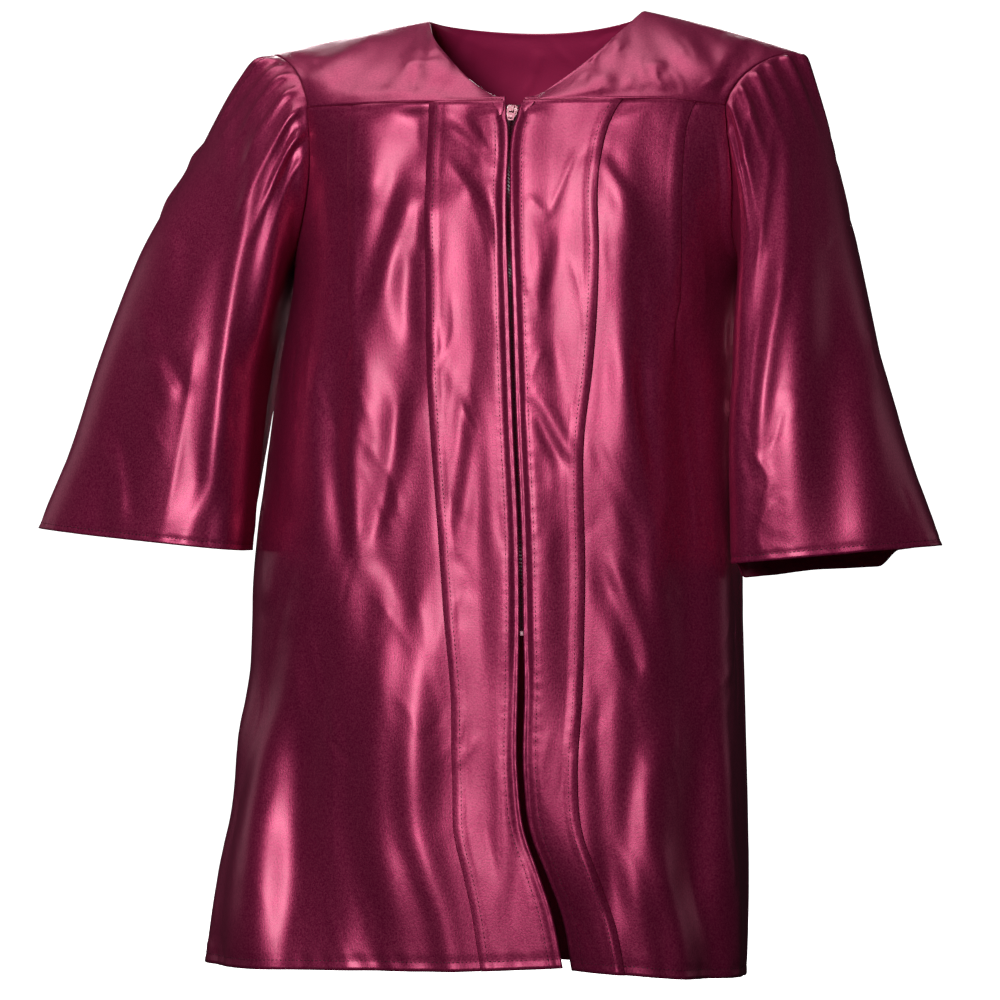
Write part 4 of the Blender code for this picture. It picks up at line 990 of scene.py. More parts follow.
backPanel = {
    "rows": 190,
    "inner": 66,  # columns of each half below the yoke's gathers
    "outer": 28,  # and from there to the armhole or side seam
    "waves": 8,
    "gathered": 0.150,
    "waveHeight": 0.0034,
    "waveLeft": 0.15,
    "waveFade": (0.120, 0.470),
    "spread": 0.12,
    "uneven": ((0.0035, 37, 1.0), (0.0022, 95, 0.0)),  # shifts the waves: amount, pitch and start
    "gatherEdge": 0.02,
    "sewnOver": 0.03,
    "allowance": (0.0030, 0.0013),
    "smallGathers": {"count": 90, "low": (-0.15, 0.088), "high": (0.15, 0.112), "slant": 0.06,
                     "lengths": (0.030, 0.080), "widths": (0.0020, 0.0042), "heights": (0.0005, 0.0013)},
    "crinkles": {"count": 170, "low": (-0.24, 0.09), "high": (0.24, 0.72), "lengths": (0.020, 0.070),
                 "widths": (0.0030, 0.0080), "heights": (0.0001, 0.0006)},
    "folds": (  # distances from the back's middle, positive towards the left
        (0.110, 0.735, -0.105, -0.150, 0.030, 0.0080),
        (0.120, 0.735, -0.040, -0.060, 0.024, -0.0070),
        (0.110, 0.735, 0.020, 0.012, 0.028, 0.0085),
        (0.120, 0.735, 0.078, 0.085, 0.024, -0.0070),
        (0.130, 0.735, 0.125, 0.165, 0.028, 0.0080),
    ),
    "creases": (  # distance from the middle and drop, half width, height: as uneven as at the front
        Crease(((-0.130, 0.16), (-0.118, 0.26), (-0.126, 0.40)), 0.008, 0.0032),
        Crease(((-0.085, 0.12), (-0.078, 0.20), (-0.090, 0.31)), 0.006, -0.0024),
        Crease(((-0.060, 0.30), (-0.070, 0.42), (-0.062, 0.56)), 0.008, 0.0034),
        Crease(((-0.020, 0.18), (-0.030, 0.30), (-0.022, 0.44)), 0.007, -0.0026),
        Crease(((0.010, 0.10), (0.004, 0.20), (0.014, 0.30)), 0.006, 0.0022, True),
        Crease(((0.045, 0.22), (0.052, 0.36), (0.040, 0.50)), 0.008, 0.0030),
        Crease(((0.095, 0.14), (0.088, 0.26), (0.100, 0.42)), 0.007, -0.0030),
        Crease(((0.120, 0.34), (0.132, 0.46), (0.126, 0.62)), 0.009, 0.0036),
        Crease(((-0.150, 0.44), (-0.140, 0.54), (-0.152, 0.70)), 0.010, -0.0038),
        Crease(((-0.100, 0.52), (-0.088, 0.62), (-0.096, 0.73)), 0.009, 0.0030),
        Crease(((0.000, 0.48), (0.010, 0.60), (0.002, 0.74)), 0.010, -0.0032),
        Crease(((0.070, 0.56), (0.062, 0.66), (0.074, 0.74)), 0.008, 0.0030),
        Crease(((0.160, 0.20), (0.152, 0.28), (0.170, 0.36)), 0.006, 0.0020, True),
        Crease(((-0.180, 0.21), (-0.168, 0.30), (-0.184, 0.38)), 0.006, 0.0020, True),
    ),
}


def backLine(drop):
    return LevelLine(drop, backEdgeAngle(right, drop), backEdgeAngle(left, drop) + 2 * math.pi)


def backLift(place, half, drop, spread):
    panel = backPanel
    uneven = place
    for amount, pitch, start in panel["uneven"]:
        uneven = uneven + amount * np.sin(pitch * place + start)
    wave = np.cos(math.pi * panel["waves"] * uneven / panel["gathered"])
    sideFade = smooth((half - np.abs(place) * spread) / cloth["sideCalm"])
    gathered = smooth((panel["gathered"] - np.abs(place)) / panel["gatherEdge"])
    sewn = smooth((drop - cloth["backSeam"]) / panel["sewnOver"])
    start, end = panel["waveFade"]
    fade = mix(1.0, panel["waveLeft"], smooth((drop - start) / (end - start)))
    waves = panel["waveHeight"] * wave * gathered * sewn * fade
    return sideFade * (waves + softLift(panel["folds"], place, drop))


def makeBack():
    panel = backPanel
    drops = np.linspace(cloth["backSeam"] + cloth["panelTopGap"], cloth["hem"], panel["rows"])
    inner = np.linspace(0, 1, panel["inner"] + 1)
    outer = np.linspace(0, 1, panel["outer"] + 1)[1:]
    points, normals, flats, calms = [], [], [], []
    for drop in drops:
        line = backLine(drop)
        half = line.length / 2
        start = panel["waveFade"][0]
        spread = 1 + panel["spread"] * smooth((drop - start) / (cloth["hem"] - start))
        width = panel["gathered"] * spread
        places = np.concatenate([width * inner, mix(width, half - cloth["seamGap"] / 2, outer)])
        places = np.concatenate([-places[:0:-1], places])
        share = places / half
        sideDrop = mix(hemLine["right"][-1], hemLine["left"][-1], (share + 1) / 2)
        lower = mix(sideDrop, backHem, smooth(1 - share * share)) - cloth["hem"]
        level = drop + lower * hemShare(drop)
        points.append(line.at(half + places, backLift(places / spread, half, drop, spread), level))
        normals.append(line.normals(half + places))
        flats.append(np.stack([places, np.full_like(places, drop)], axis=-1))
        calms.append(smooth((half - np.abs(places)) / cloth["creaseCalm"]))
    grid, normals, flats = map(np.array, (points, normals, flats))
    lift = creaseField(flats, panel["creases"])
    lift += creaseField(flats, crinkles(seeds["backGathers"], **panel["smallGathers"]))
    lift += creaseField(flats, crinkles(seeds["back"], **panel["crinkles"]))
    lift *= np.array(calms) * smooth((drops - drops[0]) / cloth["creaseCalm"])[:, None]
    lift += hemPucker(grid, "hem", drops[1] - drops[0], flats[..., 0], seeds["backHem"])
    grid[..., :2] += normals * lift[..., None]
    facing = facingOf(grid, normals)
    sewHem(grid, facing, "hem")
    return shell("backCloth", turnedUnder(grid, facing, panel["allowance"]), facing, satin)


backCloth = makeBack()
print("back panel made")

shoulders = {
    "neckHalfWidth": 0.086,
    "neckDrop": {left: -0.0195, right: -0.0240},
    "tipHalfWidth": {left: 0.2140, right: 0.2065},
    "tipDrop": {left: 0.0045, right: 0.0110},
    "rise": {left: 0.0008, right: 0.0018},
    "backNeckDepth": 0.058,
    "backNeckDrop": -0.0140,
    "backNeckCurve": 0.8,
    "backNeckBend": 0.45,
    "backNeckShare": 0.42,
    "corner": {left: 0.0097, right: 0.0076},
    "seamAtNeck": 0.082,
    "neckBend": 0.25,
    "tipBend": 0.65,
}

yokes = {
    "rows": 46,
    "columns": 96,
    "backColumns": 190,
    "easing": 260,
    "easeShare": 0.5,
    "easeLow": 0.2,  # shares of the height over which the easing grows and dies away
    "easeTop": 0.35,
    "crinkles": {"count": 46, "lengths": (14, 46), "widths": (3.0, 6.5), "heights": (0.00015, 0.0007),
                 "slant": 1.2},
    "backCrinkles": {"count": 70, "low": (-0.2, -0.075), "high": (0.2, 0.02), "lengths": (0.012, 0.050),
                     "widths": (0.0025, 0.0055), "heights": (0.00015, 0.0008), "slant": 1.2},
}

neckLine = {  # each side of the V neck, from the front seam up to the shoulder
    left: {
        "x": (0.0058, 0.0116, 0.0367, 0.0596, 0.0760, 0.0860),
        "y": (-0.1002, -0.0940, -0.0790, -0.0570, -0.0320, 0.0000),
        "drop": (0.0518, 0.0500, 0.0343, 0.0130, -0.0045, -0.0195),
    },
    right: {
        "x": (0.0115, 0.0187, 0.0360, 0.0577, 0.0755, 0.0860),
        "y": (-0.1002, -0.0930, -0.0785, -0.0580, -0.0320, 0.0000),
        "drop": (0.0518, 0.0496, 0.0365, 0.0158, -0.0065, -0.0240),
    },
}

yokeStreaks = {
    left: (
        (((498, 96), (446, 78), (398, 66)), 9, 9),
        (((474, 98), (400, 90), (322, 86)), 8, -8),
        (((432, 24), (406, 58), (374, 104)), 9, -12),
        (((402, 30), (352, 62), (314, 98)), 10, 10),
        (((350, 42), (318, 66), (292, 84)), 8, -8),
        (((458, 44), (448, 74), (430, 104)), 8, 9),
    ),
    right: (
        (((528, 98), (580, 84), (624, 58)), 9, 9),
        (((556, 101), (620, 92), (694, 84)), 8, -8),
        (((748, 36), (732, 64), (710, 100)), 9, 16),
        (((740, 48), (730, 74), (720, 104)), 5, -12),
        (((648, 16), (676, 56), (706, 104)), 10, -10),
        (((598, 56), (612, 82), (634, 108)), 8, 9),
        (((688, 28), (704, 54), (718, 76)), 8, 8),
    ),
}


def shoulderPoints(side, x):
    tip = shoulders["tipHalfWidth"][side]
    share = (x - shoulders["neckHalfWidth"]) / (tip - shoulders["neckHalfWidth"])
    arch = shoulders["rise"][side] * 4 * share * (1 - share)
    z = arch - mix(shoulders["neckDrop"][side], shoulders["tipDrop"][side], share)
    return np.stack([side * x, np.zeros_like(x), z], axis=-1)


def overShoulder(low, top, share, roundness):
    turn = share * math.pi / 2
    level = mix(share, 1 - np.cos(turn), roundness)
    rise = mix(share, np.sin(turn), roundness)
    return np.stack([mix(low[..., 0], top[..., 0], level), mix(low[..., 1], top[..., 1], level),
                     mix(low[..., 2], top[..., 2], rise)], axis=-1)


def frontYokeEnds(side, across):
    # Lower and upper ends of the front yoke's lines; across runs from the V's point (0)
    # by the top of the neck (0.5) to the shoulder's tip (1)
    line = frontLine(side, cloth["frontSeam"])
    inNeck = across <= 0.5
    share = np.where(inNeck, across * 2, across * 2 - 1)
    neck = neckLine[side]
    x = mix(neck["x"][0], shoulders["neckHalfWidth"], share)
    neckY = read(neck, "y", x) - cloth["ridgeGap"] / 2 * share
    neckTop = np.stack([side * x, neckY, -read(neck, "drop", x)], axis=-1)
    ridge = shoulderPoints(side, mix(shoulders["neckHalfWidth"], shoulders["tipHalfWidth"][side], share))
    ridge[..., 1] -= cloth["ridgeGap"] / 2
    top = np.where(inNeck[..., None], neckTop, ridge)
    distance = np.where(inNeck, mix(shoulders["corner"][side], shoulders["seamAtNeck"], share),
                        mix(shoulders["seamAtNeck"], line.length, share))
    roundness = np.where(inNeck, mix(0.0, shoulders["neckBend"], share),
                         mix(shoulders["neckBend"], shoulders["tipBend"], share))
    low = line.at(distance, 0.0, frontLevel(side, distance, cloth["frontSeam"]))
    return low, top, roundness


def backYokeEnds(across):
    # Across runs from -1 at the right armhole to 1 at the left one
    line = backLine(cloth["backSeam"])
    low = line.at(line.length * (across + 1) / 2)
    reach = np.abs(across)
    share = shoulders["backNeckShare"]
    turn = math.pi / 2 * np.clip(reach / share, 0, 1)
    side = np.where(across < 0, right, left)
    neckDrop = np.where(across < 0, shoulders["neckDrop"][right], shoulders["neckDrop"][left])
    behind = np.cos(turn).clip(0, 1) ** shoulders["backNeckCurve"]
    neckY = shoulders["backNeckDepth"] * behind + cloth["ridgeGap"] / 2
    neckZ = -mix(shoulders["backNeckDrop"], neckDrop, np.sin(turn) ** 2)
    neckTop = np.stack([side * shoulders["neckHalfWidth"] * np.sin(turn), neckY, neckZ], axis=-1)
    tops = []
    for one in (right, left):
        out = np.clip((reach - share) / (1 - share), 0, 1)
        ridge = shoulderPoints(one, mix(shoulders["neckHalfWidth"], shoulders["tipHalfWidth"][one], out))
        ridge[..., 1] += cloth["ridgeGap"] / 2
        tops.append(ridge)
    ridge = np.where((across < 0)[..., None], tops[0], tops[1])
    top = np.where((reach <= share)[..., None], neckTop, ridge)
    return low, top, mix(shoulders["backNeckBend"], shoulders["tipBend"], reach)


def yokeGrid(ends):
    low, top, roundness = ends
    shares = np.linspace(0, 1, yokes["rows"])
    return np.array([overShoulder(low, top, share, roundness) for share in shares])


def edgeCalm(rows, columns, cells=5.0):
    # 0 on a grid's border and 1 a few cells inside it
    down = np.minimum(np.arange(rows), np.arange(rows)[::-1])[:, None] / cells
    over = np.minimum(np.arange(columns), np.arange(columns)[::-1])[None, :] / cells
    return smooth(down) * smooth(over)


def makeYoke(name, grid, away, spots, lift, creases):
    facing = facingOf(grid, away)
    lift = lift + creaseField(spots, creases)
    lift = lift * edgeCalm(*grid.shape[:2])
    grid = grid + gridNormals(grid, False) * facing * lift[..., None]
    return shell(name, grid, facing, satin)


def makeYokeFront(side):
    grid = yokeGrid(frontYokeEnds(side, np.linspace(0, 1, yokes["columns"])))
    spots = pictureSpots(grid)
    low, high = spots.reshape(-1, 2).min(axis=0), spots.reshape(-1, 2).max(axis=0)
    creases = crinkles(seeds["frontYoke"] + side, low=low, high=high, **yokes["crinkles"])
    lift = streakField(spots, yokeStreaks[side])
    return makeYoke("yokeFrontCloth." + sideNames[side], grid, ahead, spots, lift, creases)


def makeYokeBack():
    grid = yokeGrid(backYokeEnds(np.linspace(-1, 1, yokes["backColumns"])))
    shares = np.linspace(0, 1, yokes["rows"])
    eased = smooth(shares / yokes["easeLow"]) * smooth((1 - shares) / yokes["easeTop"])
    eased = yokes["easeShare"] * eased[:, None, None]
    for _ in range(yokes["easing"]):  # softens the bend below the neck's corners
        beside = (np.roll(grid, 1, axis=1) + np.roll(grid, -1, axis=1)) / 2
        grid[:, 1:-1] += eased * (beside - grid)[:, 1:-1]
    flats = np.stack([grid[..., 0], grid[..., 2]], axis=-1)
    creases = crinkles(seeds["backYoke"], **yokes["backCrinkles"])
    return makeYoke("yokeBackCloth", grid, -ahead, flats, 0.0, creases)


yokeCloths = {side: makeYokeFront(side) for side in (left, right)}
yokeBackCloth = makeYokeBack()
print("yokes made")

sleeve = {
    "rows": 176,
    "capColumns": 150,  # over the gathered stretch, and below it
    "underColumns": 54,
    "square": 2.2,
    "clearance": 0.0045,
    "armholeClearance": 0.0015,
    "armholeStep": 0.0012,
    "armpitStep": 0.0006,
    "armpit": {"starts": 0.75, "over": 0.2},  # shares of the way down the armhole
    "yokePoints": 8,  # of the armhole's edge on a yoke, and on a front or back panel
    "frontPoints": 40,
    "backPoints": 34,
    "armholeShape": 0.45,
    "cuffFall": {left: 0.000, right: 0.0118},
    "lean": 0.44,  # the front's crest lies nearer the body
    "leanOver": 0.3,
    "backFall": {"behind": 0.35, "level": 0.23, "over": 0.09},  # where the cuff's back hangs lower
    "clearOver": 0.1,
    "gathers": 15,
    "halfSpan": 1.75,
    "gatherHeight": 0.0028,
    "gatherLength": 0.25,
    "gatherEdge": 0.3,
    "secondWave": {"height": 0.35, "pitch": 0.62, "start": 1.1},
    "gatherFade": 1.8,
    "sewnOver": 0.05,
    "length": 0.42,  # of the flat that its creases are placed on
    "flatToRadian": 0.075,
    "allowance": (0.0034, 0.0016),
    "hidden": {"count": 26, "low": (0.26, 0.05), "high": (0.48, 0.40), "lengths": (0.08, 0.20),
               "widths": (0.006, 0.010), "heights": (0.0018, 0.0034), "slant": 0.25},
    "crinkles": {"count": 80, "low": (0.0, 0.02), "high": (0.47, 0.41), "lengths": (0.020, 0.070),
                 "widths": (0.0030, 0.0075), "heights": (0.0001, 0.0004), "slant": 0.4},
    "foldShare": 0.25,  # share of the large folds at the front, where the streaks take over
    "foldStart": 0.4,
    "seen": {"from": 0.05, "over": 0.25},  # how much a spot faces the picture
}

sleeveEdges = {  # the upper and under edges by share of the length, and how far front and back stand off
    left: {
        "along": (0.00, 0.04, 0.10, 0.25, 0.45, 0.65, 0.85, 1.00),
        "outerX": (0.2140, 0.2270, 0.2410, 0.2765, 0.3160, 0.3450, 0.3690, 0.3930),
        "outerY": (0.000, -0.001, -0.002, -0.010, -0.022, -0.034, -0.044, -0.050),
        "outerDrop": (0.0045, 0.0080, 0.0240, 0.0890, 0.1650, 0.2450, 0.3230, 0.3825),
        "innerX": (0.1920, 0.1950, 0.1975, 0.2020, 0.2070, 0.2105, 0.2145, 0.2175),
        "innerY": (0.000, -0.002, -0.006, -0.014, -0.026, -0.036, -0.046, -0.052),
        "innerDrop": (0.1775, 0.1860, 0.1990, 0.2320, 0.2760, 0.3220, 0.3670, 0.4000),
        "front": (0.069, 0.072, 0.075, 0.080, 0.078, 0.072, 0.064, 0.060),
        "back": (0.058, 0.060, 0.062, 0.066, 0.066, 0.062, 0.058, 0.056),
    },
    right: {
        "along": (0.00, 0.04, 0.10, 0.25, 0.45, 0.65, 0.85, 1.00),
        "outerX": (0.2065, 0.2115, 0.2195, 0.2395, 0.2595, 0.2795, 0.3045, 0.3275),
        "outerY": (0.000, -0.001, -0.003, -0.012, -0.026, -0.040, -0.052, -0.060),
        "outerDrop": (0.0110, 0.0150, 0.0310, 0.0920, 0.1720, 0.2550, 0.3350, 0.3950),
        "innerX": (0.1680, 0.1710, 0.1730, 0.1725, 0.1700, 0.1690, 0.1695, 0.1700),
        "innerY": (0.000, -0.001, -0.006, -0.026, -0.042, -0.050, -0.056, -0.060),
        "innerDrop": (0.1775, 0.1860, 0.1990, 0.2340, 0.2800, 0.3260, 0.3730, 0.4090),
        "front": (0.069, 0.073, 0.076, 0.080, 0.080, 0.076, 0.068, 0.062),
        "back": (0.058, 0.060, 0.062, 0.066, 0.068, 0.066, 0.062, 0.060),
    },
}

sleeveFolds = {  # angles at the two ends, first and last share of the length, half width, height
    left: (
        (0.60, 2.05, 0.12, 1.05, 0.26, 0.0080),
        (1.15, 1.55, 0.25, 1.05, 0.24, -0.0090),
        (0.70, 1.00, 0.35, 1.05, 0.24, 0.0075),
        (2.30, 2.60, 0.20, 1.05, 0.24, -0.0060),
        (4.30, 4.55, 0.20, 1.05, 0.34, 0.0090),
        (5.00, 5.30, 0.25, 1.05, 0.30, -0.0080),
    ),
    right: (
        (1.30, 1.95, 0.12, 1.05, 0.24, 0.0080),
        (0.95, 1.45, 0.22, 1.05, 0.24, -0.0090),
        (0.60, 0.90, 0.30, 1.05, 0.26, 0.0080),
        (2.20, 2.45, 0.20, 1.05, 0.22, -0.0060),
        (4.20, 4.40, 0.20, 1.05, 0.34, 0.0090),
        (4.95, 5.20, 0.25, 1.05, 0.30, -0.0080),
    ),
}

sleeveStreaks = {
    left: (
        (((154, 350), (172, 385), (186, 406)), 9, 14),
        (((147, 300), (155, 352)), 9, 9),
        (((108, 424), (120, 480), (126, 536)), 9, 11),
        (((232, 85), (230, 185)), 9, 10),
        (((181, 220), (176, 305)), 8, 7),
        (((282, 100), (282, 200), (270, 320)), 10, 14),
    ),
    right: (
        (((806, 110), (820, 330), (812, 560)), 22, 12),
        (((738, 290), (740, 400), (738, 510)), 9, 10),
    ),
}

sleeveCreases = {
    left: [Crease(((262, 66), (262, 100), (253, 190), (243, 240), (232, 300),
                   (222, 380), (214, 470), (195, 522), (180, 590)), 13, 0.0042)] + creaseList((
        (((286, 78), (300, 130), (310, 224)), 6, 2.2),
        (((289, 228), (296, 250), (302, 268)), 4, 1.2),
        (((200, 316), (184, 420), (177, 466), (160, 550)), 4, 0.9),
        (((258, 72), (255, 60), (262, 53), (272, 60)), 4, 1.6),
        (((156, 356), (168, 380), (180, 396)), 4, 0.8),
        (((112, 430), (120, 480), (124, 528)), 4, 0.7),
    )),
    right: [Crease(((788, 80), (785, 200), (781, 280), (768, 350), (757, 450), (752, 520)), 12, 0.0038),
            Crease(((842, 330), (862, 450), (874, 600)), 30, 0.0075)] + creaseList((
        (((774, 100), (765, 200), (752, 310)), 5, 1.8),
        (((752, 82), (746, 130), (739, 188)), 4, 1.2),
        (((748, 446), (769, 480), (757, 514)), 5, 1.3),
        (((777, 494), (757, 530), (766, 566)), 5, 1.2),
        (((760, 300), (752, 360), (748, 430)), 4, 0.7),
    )),
}


def armholeHalf(side, front):
    if front:
        low, top, bend = frontYokeEnds(side, np.array([1.0]))
        seam, count, edgeAngle = cloth["frontSeam"], sleeve["frontPoints"], frontEdgeAngle
    else:
        low, top, bend = backYokeEnds(np.array([-float(side)]))
        seam, count, edgeAngle = cloth["backSeam"], sleeve["backPoints"], backEdgeAngle
    last = sleeve["yokePoints"] - 1
    points = [overShoulder(low[0], top[0], 1 - row / last, bend[0]) for row in range(last + 1)]
    for drop in np.linspace(seam + cloth["panelTopGap"], cloth["armpit"], count):
        x, y = bodyOutline(drop, np.array([edgeAngle(side, drop)]))[0]
        level = frontLevel(side, np.array([1.0]), drop)[0] if front else drop
        points.append(np.array([x, y, -level]))
    return np.array(points)


def byLength(points, share):
    reach = reaches(points)
    return np.stack([np.interp(share * reach[-1], reach, line) for line in points.T], axis=-1)


def plainRing(side, along, angles):
    edges = sleeveEdges[side]
    outer, inner = (np.array([side * read(edges, edge + "X", along), read(edges, edge + "Y", along),
                              -read(edges, edge + "Drop", along)]) for edge in ("outer", "inner"))
    up, over = np.cos(angles), np.sin(angles)
    up = np.sign(up) * np.abs(up) ** (2 / sleeve["square"])
    over = np.sign(over) * np.abs(over) ** (2 / sleeve["square"])
    depth = np.where(over > 0, read(edges, "front", along), read(edges, "back", along))
    lean = sleeve["lean"] * smooth(along / sleeve["leanOver"]) * (over > 0)
    up = up - lean * (1 - up * up)
    points = (outer + inner) / 2 + up[:, None] * (outer - inner) / 2
    points[:, 1] -= depth * over
    fall = sleeve["backFall"]
    behind = smooth(-over / fall["behind"]) * smooth((fall["level"] - up / 2) / fall["over"])
    points[:, 2] -= sleeve["cuffFall"][side] * along**3 * behind
    return points


def besideBody(side, along, points):
    margin = mix(sleeve["armholeClearance"], sleeve["clearance"], smooth(along / sleeve["clearOver"]))
    drop = -points[:, 2]
    depth = np.where(points[:, 1] < 0, read(body, "front", drop), read(body, "back", drop)) + margin
    within = (drop > armhole["top"]) & (np.abs(points[:, 1]) < depth)
    width = read(body, "halfWidth", drop) + margin
    share = np.clip(np.abs(points[:, 1]) / depth, 0, 1)
    reach = width * (1 - share ** cloth["square"]) ** (1 / cloth["square"])
    nearest = side * read(body, "centre", drop) + reach
    points[:, 0] = np.where(within, side * np.maximum(side * points[:, 0], nearest), points[:, 0])
    return points


def armholeRing(side, angles):
    turned = (angles + math.pi) % (2 * math.pi) - math.pi
    share = np.abs(turned) / math.pi
    front, back = (byLength(armholeHalf(side, isFront), share) for isFront in (True, False))
    points = np.where((turned >= 0)[:, None], front, back)
    armpit = smooth((share - sleeve["armpit"]["starts"]) / sleeve["armpit"]["over"])
    points[:, 0] += side * (sleeve["armholeStep"] + sleeve["armpitStep"] * armpit)
    return points


def sleeveLift(side, along, angles):
    turns = math.pi * sleeve["gathers"] * (angles / sleeve["halfSpan"] + 1)
    second = sleeve["secondWave"]
    wave = np.cos(turns) + second["height"] * np.cos(turns * second["pitch"] + second["start"])
    wave = 1 - 0.5 * (1 - wave) ** 2  # full ridges between narrow valleys
    fade = max(0.0, 1 - along / sleeve["gatherLength"]) ** sleeve["gatherFade"]
    edge = smooth((sleeve["halfSpan"] - np.abs(angles)) / sleeve["gatherEdge"])
    lift = sleeve["gatherHeight"] * wave * smooth(along / sleeve["sewnOver"]) * fade * edge
    fullTurn = angles % (2 * math.pi)
    for start, finish, first, last, halfWidth, height in sleeveFolds[side]:
        share = (along - first) / (last - first)
        if share > 0:
            kept = sleeve["foldShare"] if start < math.pi else 1.0
            profile = bump(fullTurn - mix(start, finish, share), halfWidth)
            lift = lift + kept * height * smooth(share / sleeve["foldStart"]) * profile
    return lift


def makeSleeve(side):
    span = sleeve["halfSpan"]
    cap = np.linspace(-span, span, sleeve["capColumns"])
    under = np.linspace(span, 2 * math.pi - span, sleeve["underColumns"] + 2)[1:-1]
    angles = np.concatenate([cap, under])
    shares = np.linspace(0, 1, sleeve["rows"])
    misfit = armholeRing(side, angles) - plainRing(side, 0.0, angles)
    fitted = 1 - smooth(shares / sleeve["armholeShape"])
    rings = [plainRing(side, along, angles) for along in shares]
    grid = np.array([ring + misfit * fit for ring, fit in zip(rings, fitted)])
    normals = gridNormals(grid, True) * side
    lift = -np.array([sleeveLift(side, along, angles) for along in shares])
    turn = math.radians(picture["azimuth"])
    facing = normals @ np.array([math.sin(turn), -math.cos(turn), 0.0])
    facing = smooth((facing - sleeve["seen"]["from"]) / sleeve["seen"]["over"])
    sewn = smooth(shares / sleeve["sewnOver"])[:, None]
    spots = pictureSpots(grid)
    seen = streakField(spots, sleeveStreaks[side]) + creaseField(spots, sleeveCreases[side])
    lift += seen * facing * sewn
    length = sleeve["length"]
    flats = np.stack([np.broadcast_to(angles % (2 * math.pi) * sleeve["flatToRadian"], lift.shape),
                      np.broadcast_to(shares[:, None] * length, lift.shape)], axis=-1)
    hidden = creaseField(flats, crinkles(seeds["hiddenFolds"] + side, **sleeve["hidden"]))
    lift += hidden * (1 - facing) * sewn
    lift += creaseField(flats, crinkles(seeds["sleeve"] + side, **sleeve["crinkles"])) * sewn
    lift += hemPucker(grid, "cuff", length / len(shares), flats[..., 0], seeds["cuff"] + side)
    grid = grid + normals * lift[..., None]
    for row, along in enumerate(shares[1:], start=1):
        grid[row] = besideBody(side, along, grid[row])
    sewHem(grid, side, "cuff", wraps=True)
    whole = turnedUnder(grid, side, sleeve["allowance"], wraps=True)
    return shell("sleeveCloth." + sideNames[side], whole, side, satin, wraps=True)


sleeves = {side: makeSleeve(side) for side in (left, right)}
print("sleeves made")

corners = {  # edges of the turned corners by distance from the zip's middle
    "drop": (0.0547, 0.0575, 0.0600, 0.0626, 0.0654),
    "leftNear": (0.0078, 0.0068, 0.0064, 0.0069, 0.0086),
    "leftFar": (0.0170, 0.0150, 0.0132, 0.0114, 0.0100),
    "rightNear": (0.0086, 0.0078, 0.0073, 0.0088, 0.0112),
    "rightFar": (0.0166, 0.0154, 0.0140, 0.0132, 0.0124),
    "columns": 13,
    "rows": 15,
    "puff": 0.0005,
    "thickness": 0.0008,
}


def makeCorner(side):
    name = sideNames[side]
    shares = np.linspace(0, 1, corners["columns"])
    top, bottom = corners["drop"][0], corners["drop"][-1]
    rows = []
    for drop in np.linspace(top, bottom, corners["rows"]):
        line = frontLine(side, drop)
        near, far = (read(corners, name + end, drop) for end in ("Near", "Far"))
        puff = corners["puff"] * np.sin(math.pi * shares)
        puff = puff * math.sin(math.pi * (drop - top) / (bottom - top))
        rows.append(line.at(mix(near, far, shares), cloth["wall"] + cloth["seamGap"] + puff, drop))
    grid = np.array(rows)
    facing = facingOf(grid, ahead)
    return shell("cornerCloth." + name, grid, facing, satin, thickness=corners["thickness"])


cornerCloths = {side: makeCorner(side) for side in (left, right)}

zipParts = {
    "top": 0.0572,
    "end": 0.4600,
    "tapeWidth": 0.0125,
    "tapeThickness": 0.0007,
    "tapeInset": 0.0006,
    "tapeClear": 0.0001,  # more than the chain's own clearance
    "tapeRows": 150,
    "tapeColumns": 8,
    "toSide": 0.3,  # so far from the side seam that it doesn't calm the cloth
    "chainInset": 0.0006,  # of the first and last teeth from the tape's ends
    "chainHalfWidth": 0.0022,
    "chainThickness": 0.0021,
    "clear": 0.0003,
    "parting": 0.0016,
    "sliderLength": 0.0096,
    "pitch": 0.0028,  # from one tooth of a half to its next; the halves mesh half a pitch apart
    "tooth": (0.0026, 0.0019, 0.0012),  # across, through, and along the zip
}


def tapeLine(side, drops, across, depth):
    # Points along a tape, a distance from its inner edge and behind the panels' middle
    points = []
    for drop in drops:
        line = frontLine(side, drop)
        start = cloth["seamGap"] / 2 + zipParts["parting"] * (
            1 - smooth((drop - zipParts["top"]) / zipParts["sliderLength"]))
        distance = np.array([start + across]) if np.isscalar(across) else start + np.asarray(across)
        lift = frontLift(side, distance, drop, zipParts["toSide"])
        points.append(line.at(distance, lift - depth, drop))
    return np.array(points)


def makeTape(side):
    drops = np.linspace(zipParts["top"], zipParts["end"], zipParts["tapeRows"])
    depth = cloth["wall"] / 2 + zipParts["clear"] + zipParts["tapeClear"] + zipParts["tapeThickness"] / 2
    width = zipParts["tapeWidth"] - cloth["seamGap"] / 2 - zipParts["parting"]
    across = np.linspace(zipParts["tapeInset"], width, zipParts["tapeColumns"])
    grid = tapeLine(side, drops, across, depth)
    name = "zipTapeCloth." + sideNames[side]
    return shell(name, grid, facingOf(grid, ahead), tapeCloth, thickness=zipParts["tapeThickness"])


tapes = {side: makeTape(side) for side in (left, right)}
print("zip tapes and corners made")


# Geometry Nodes: small shapes along lines

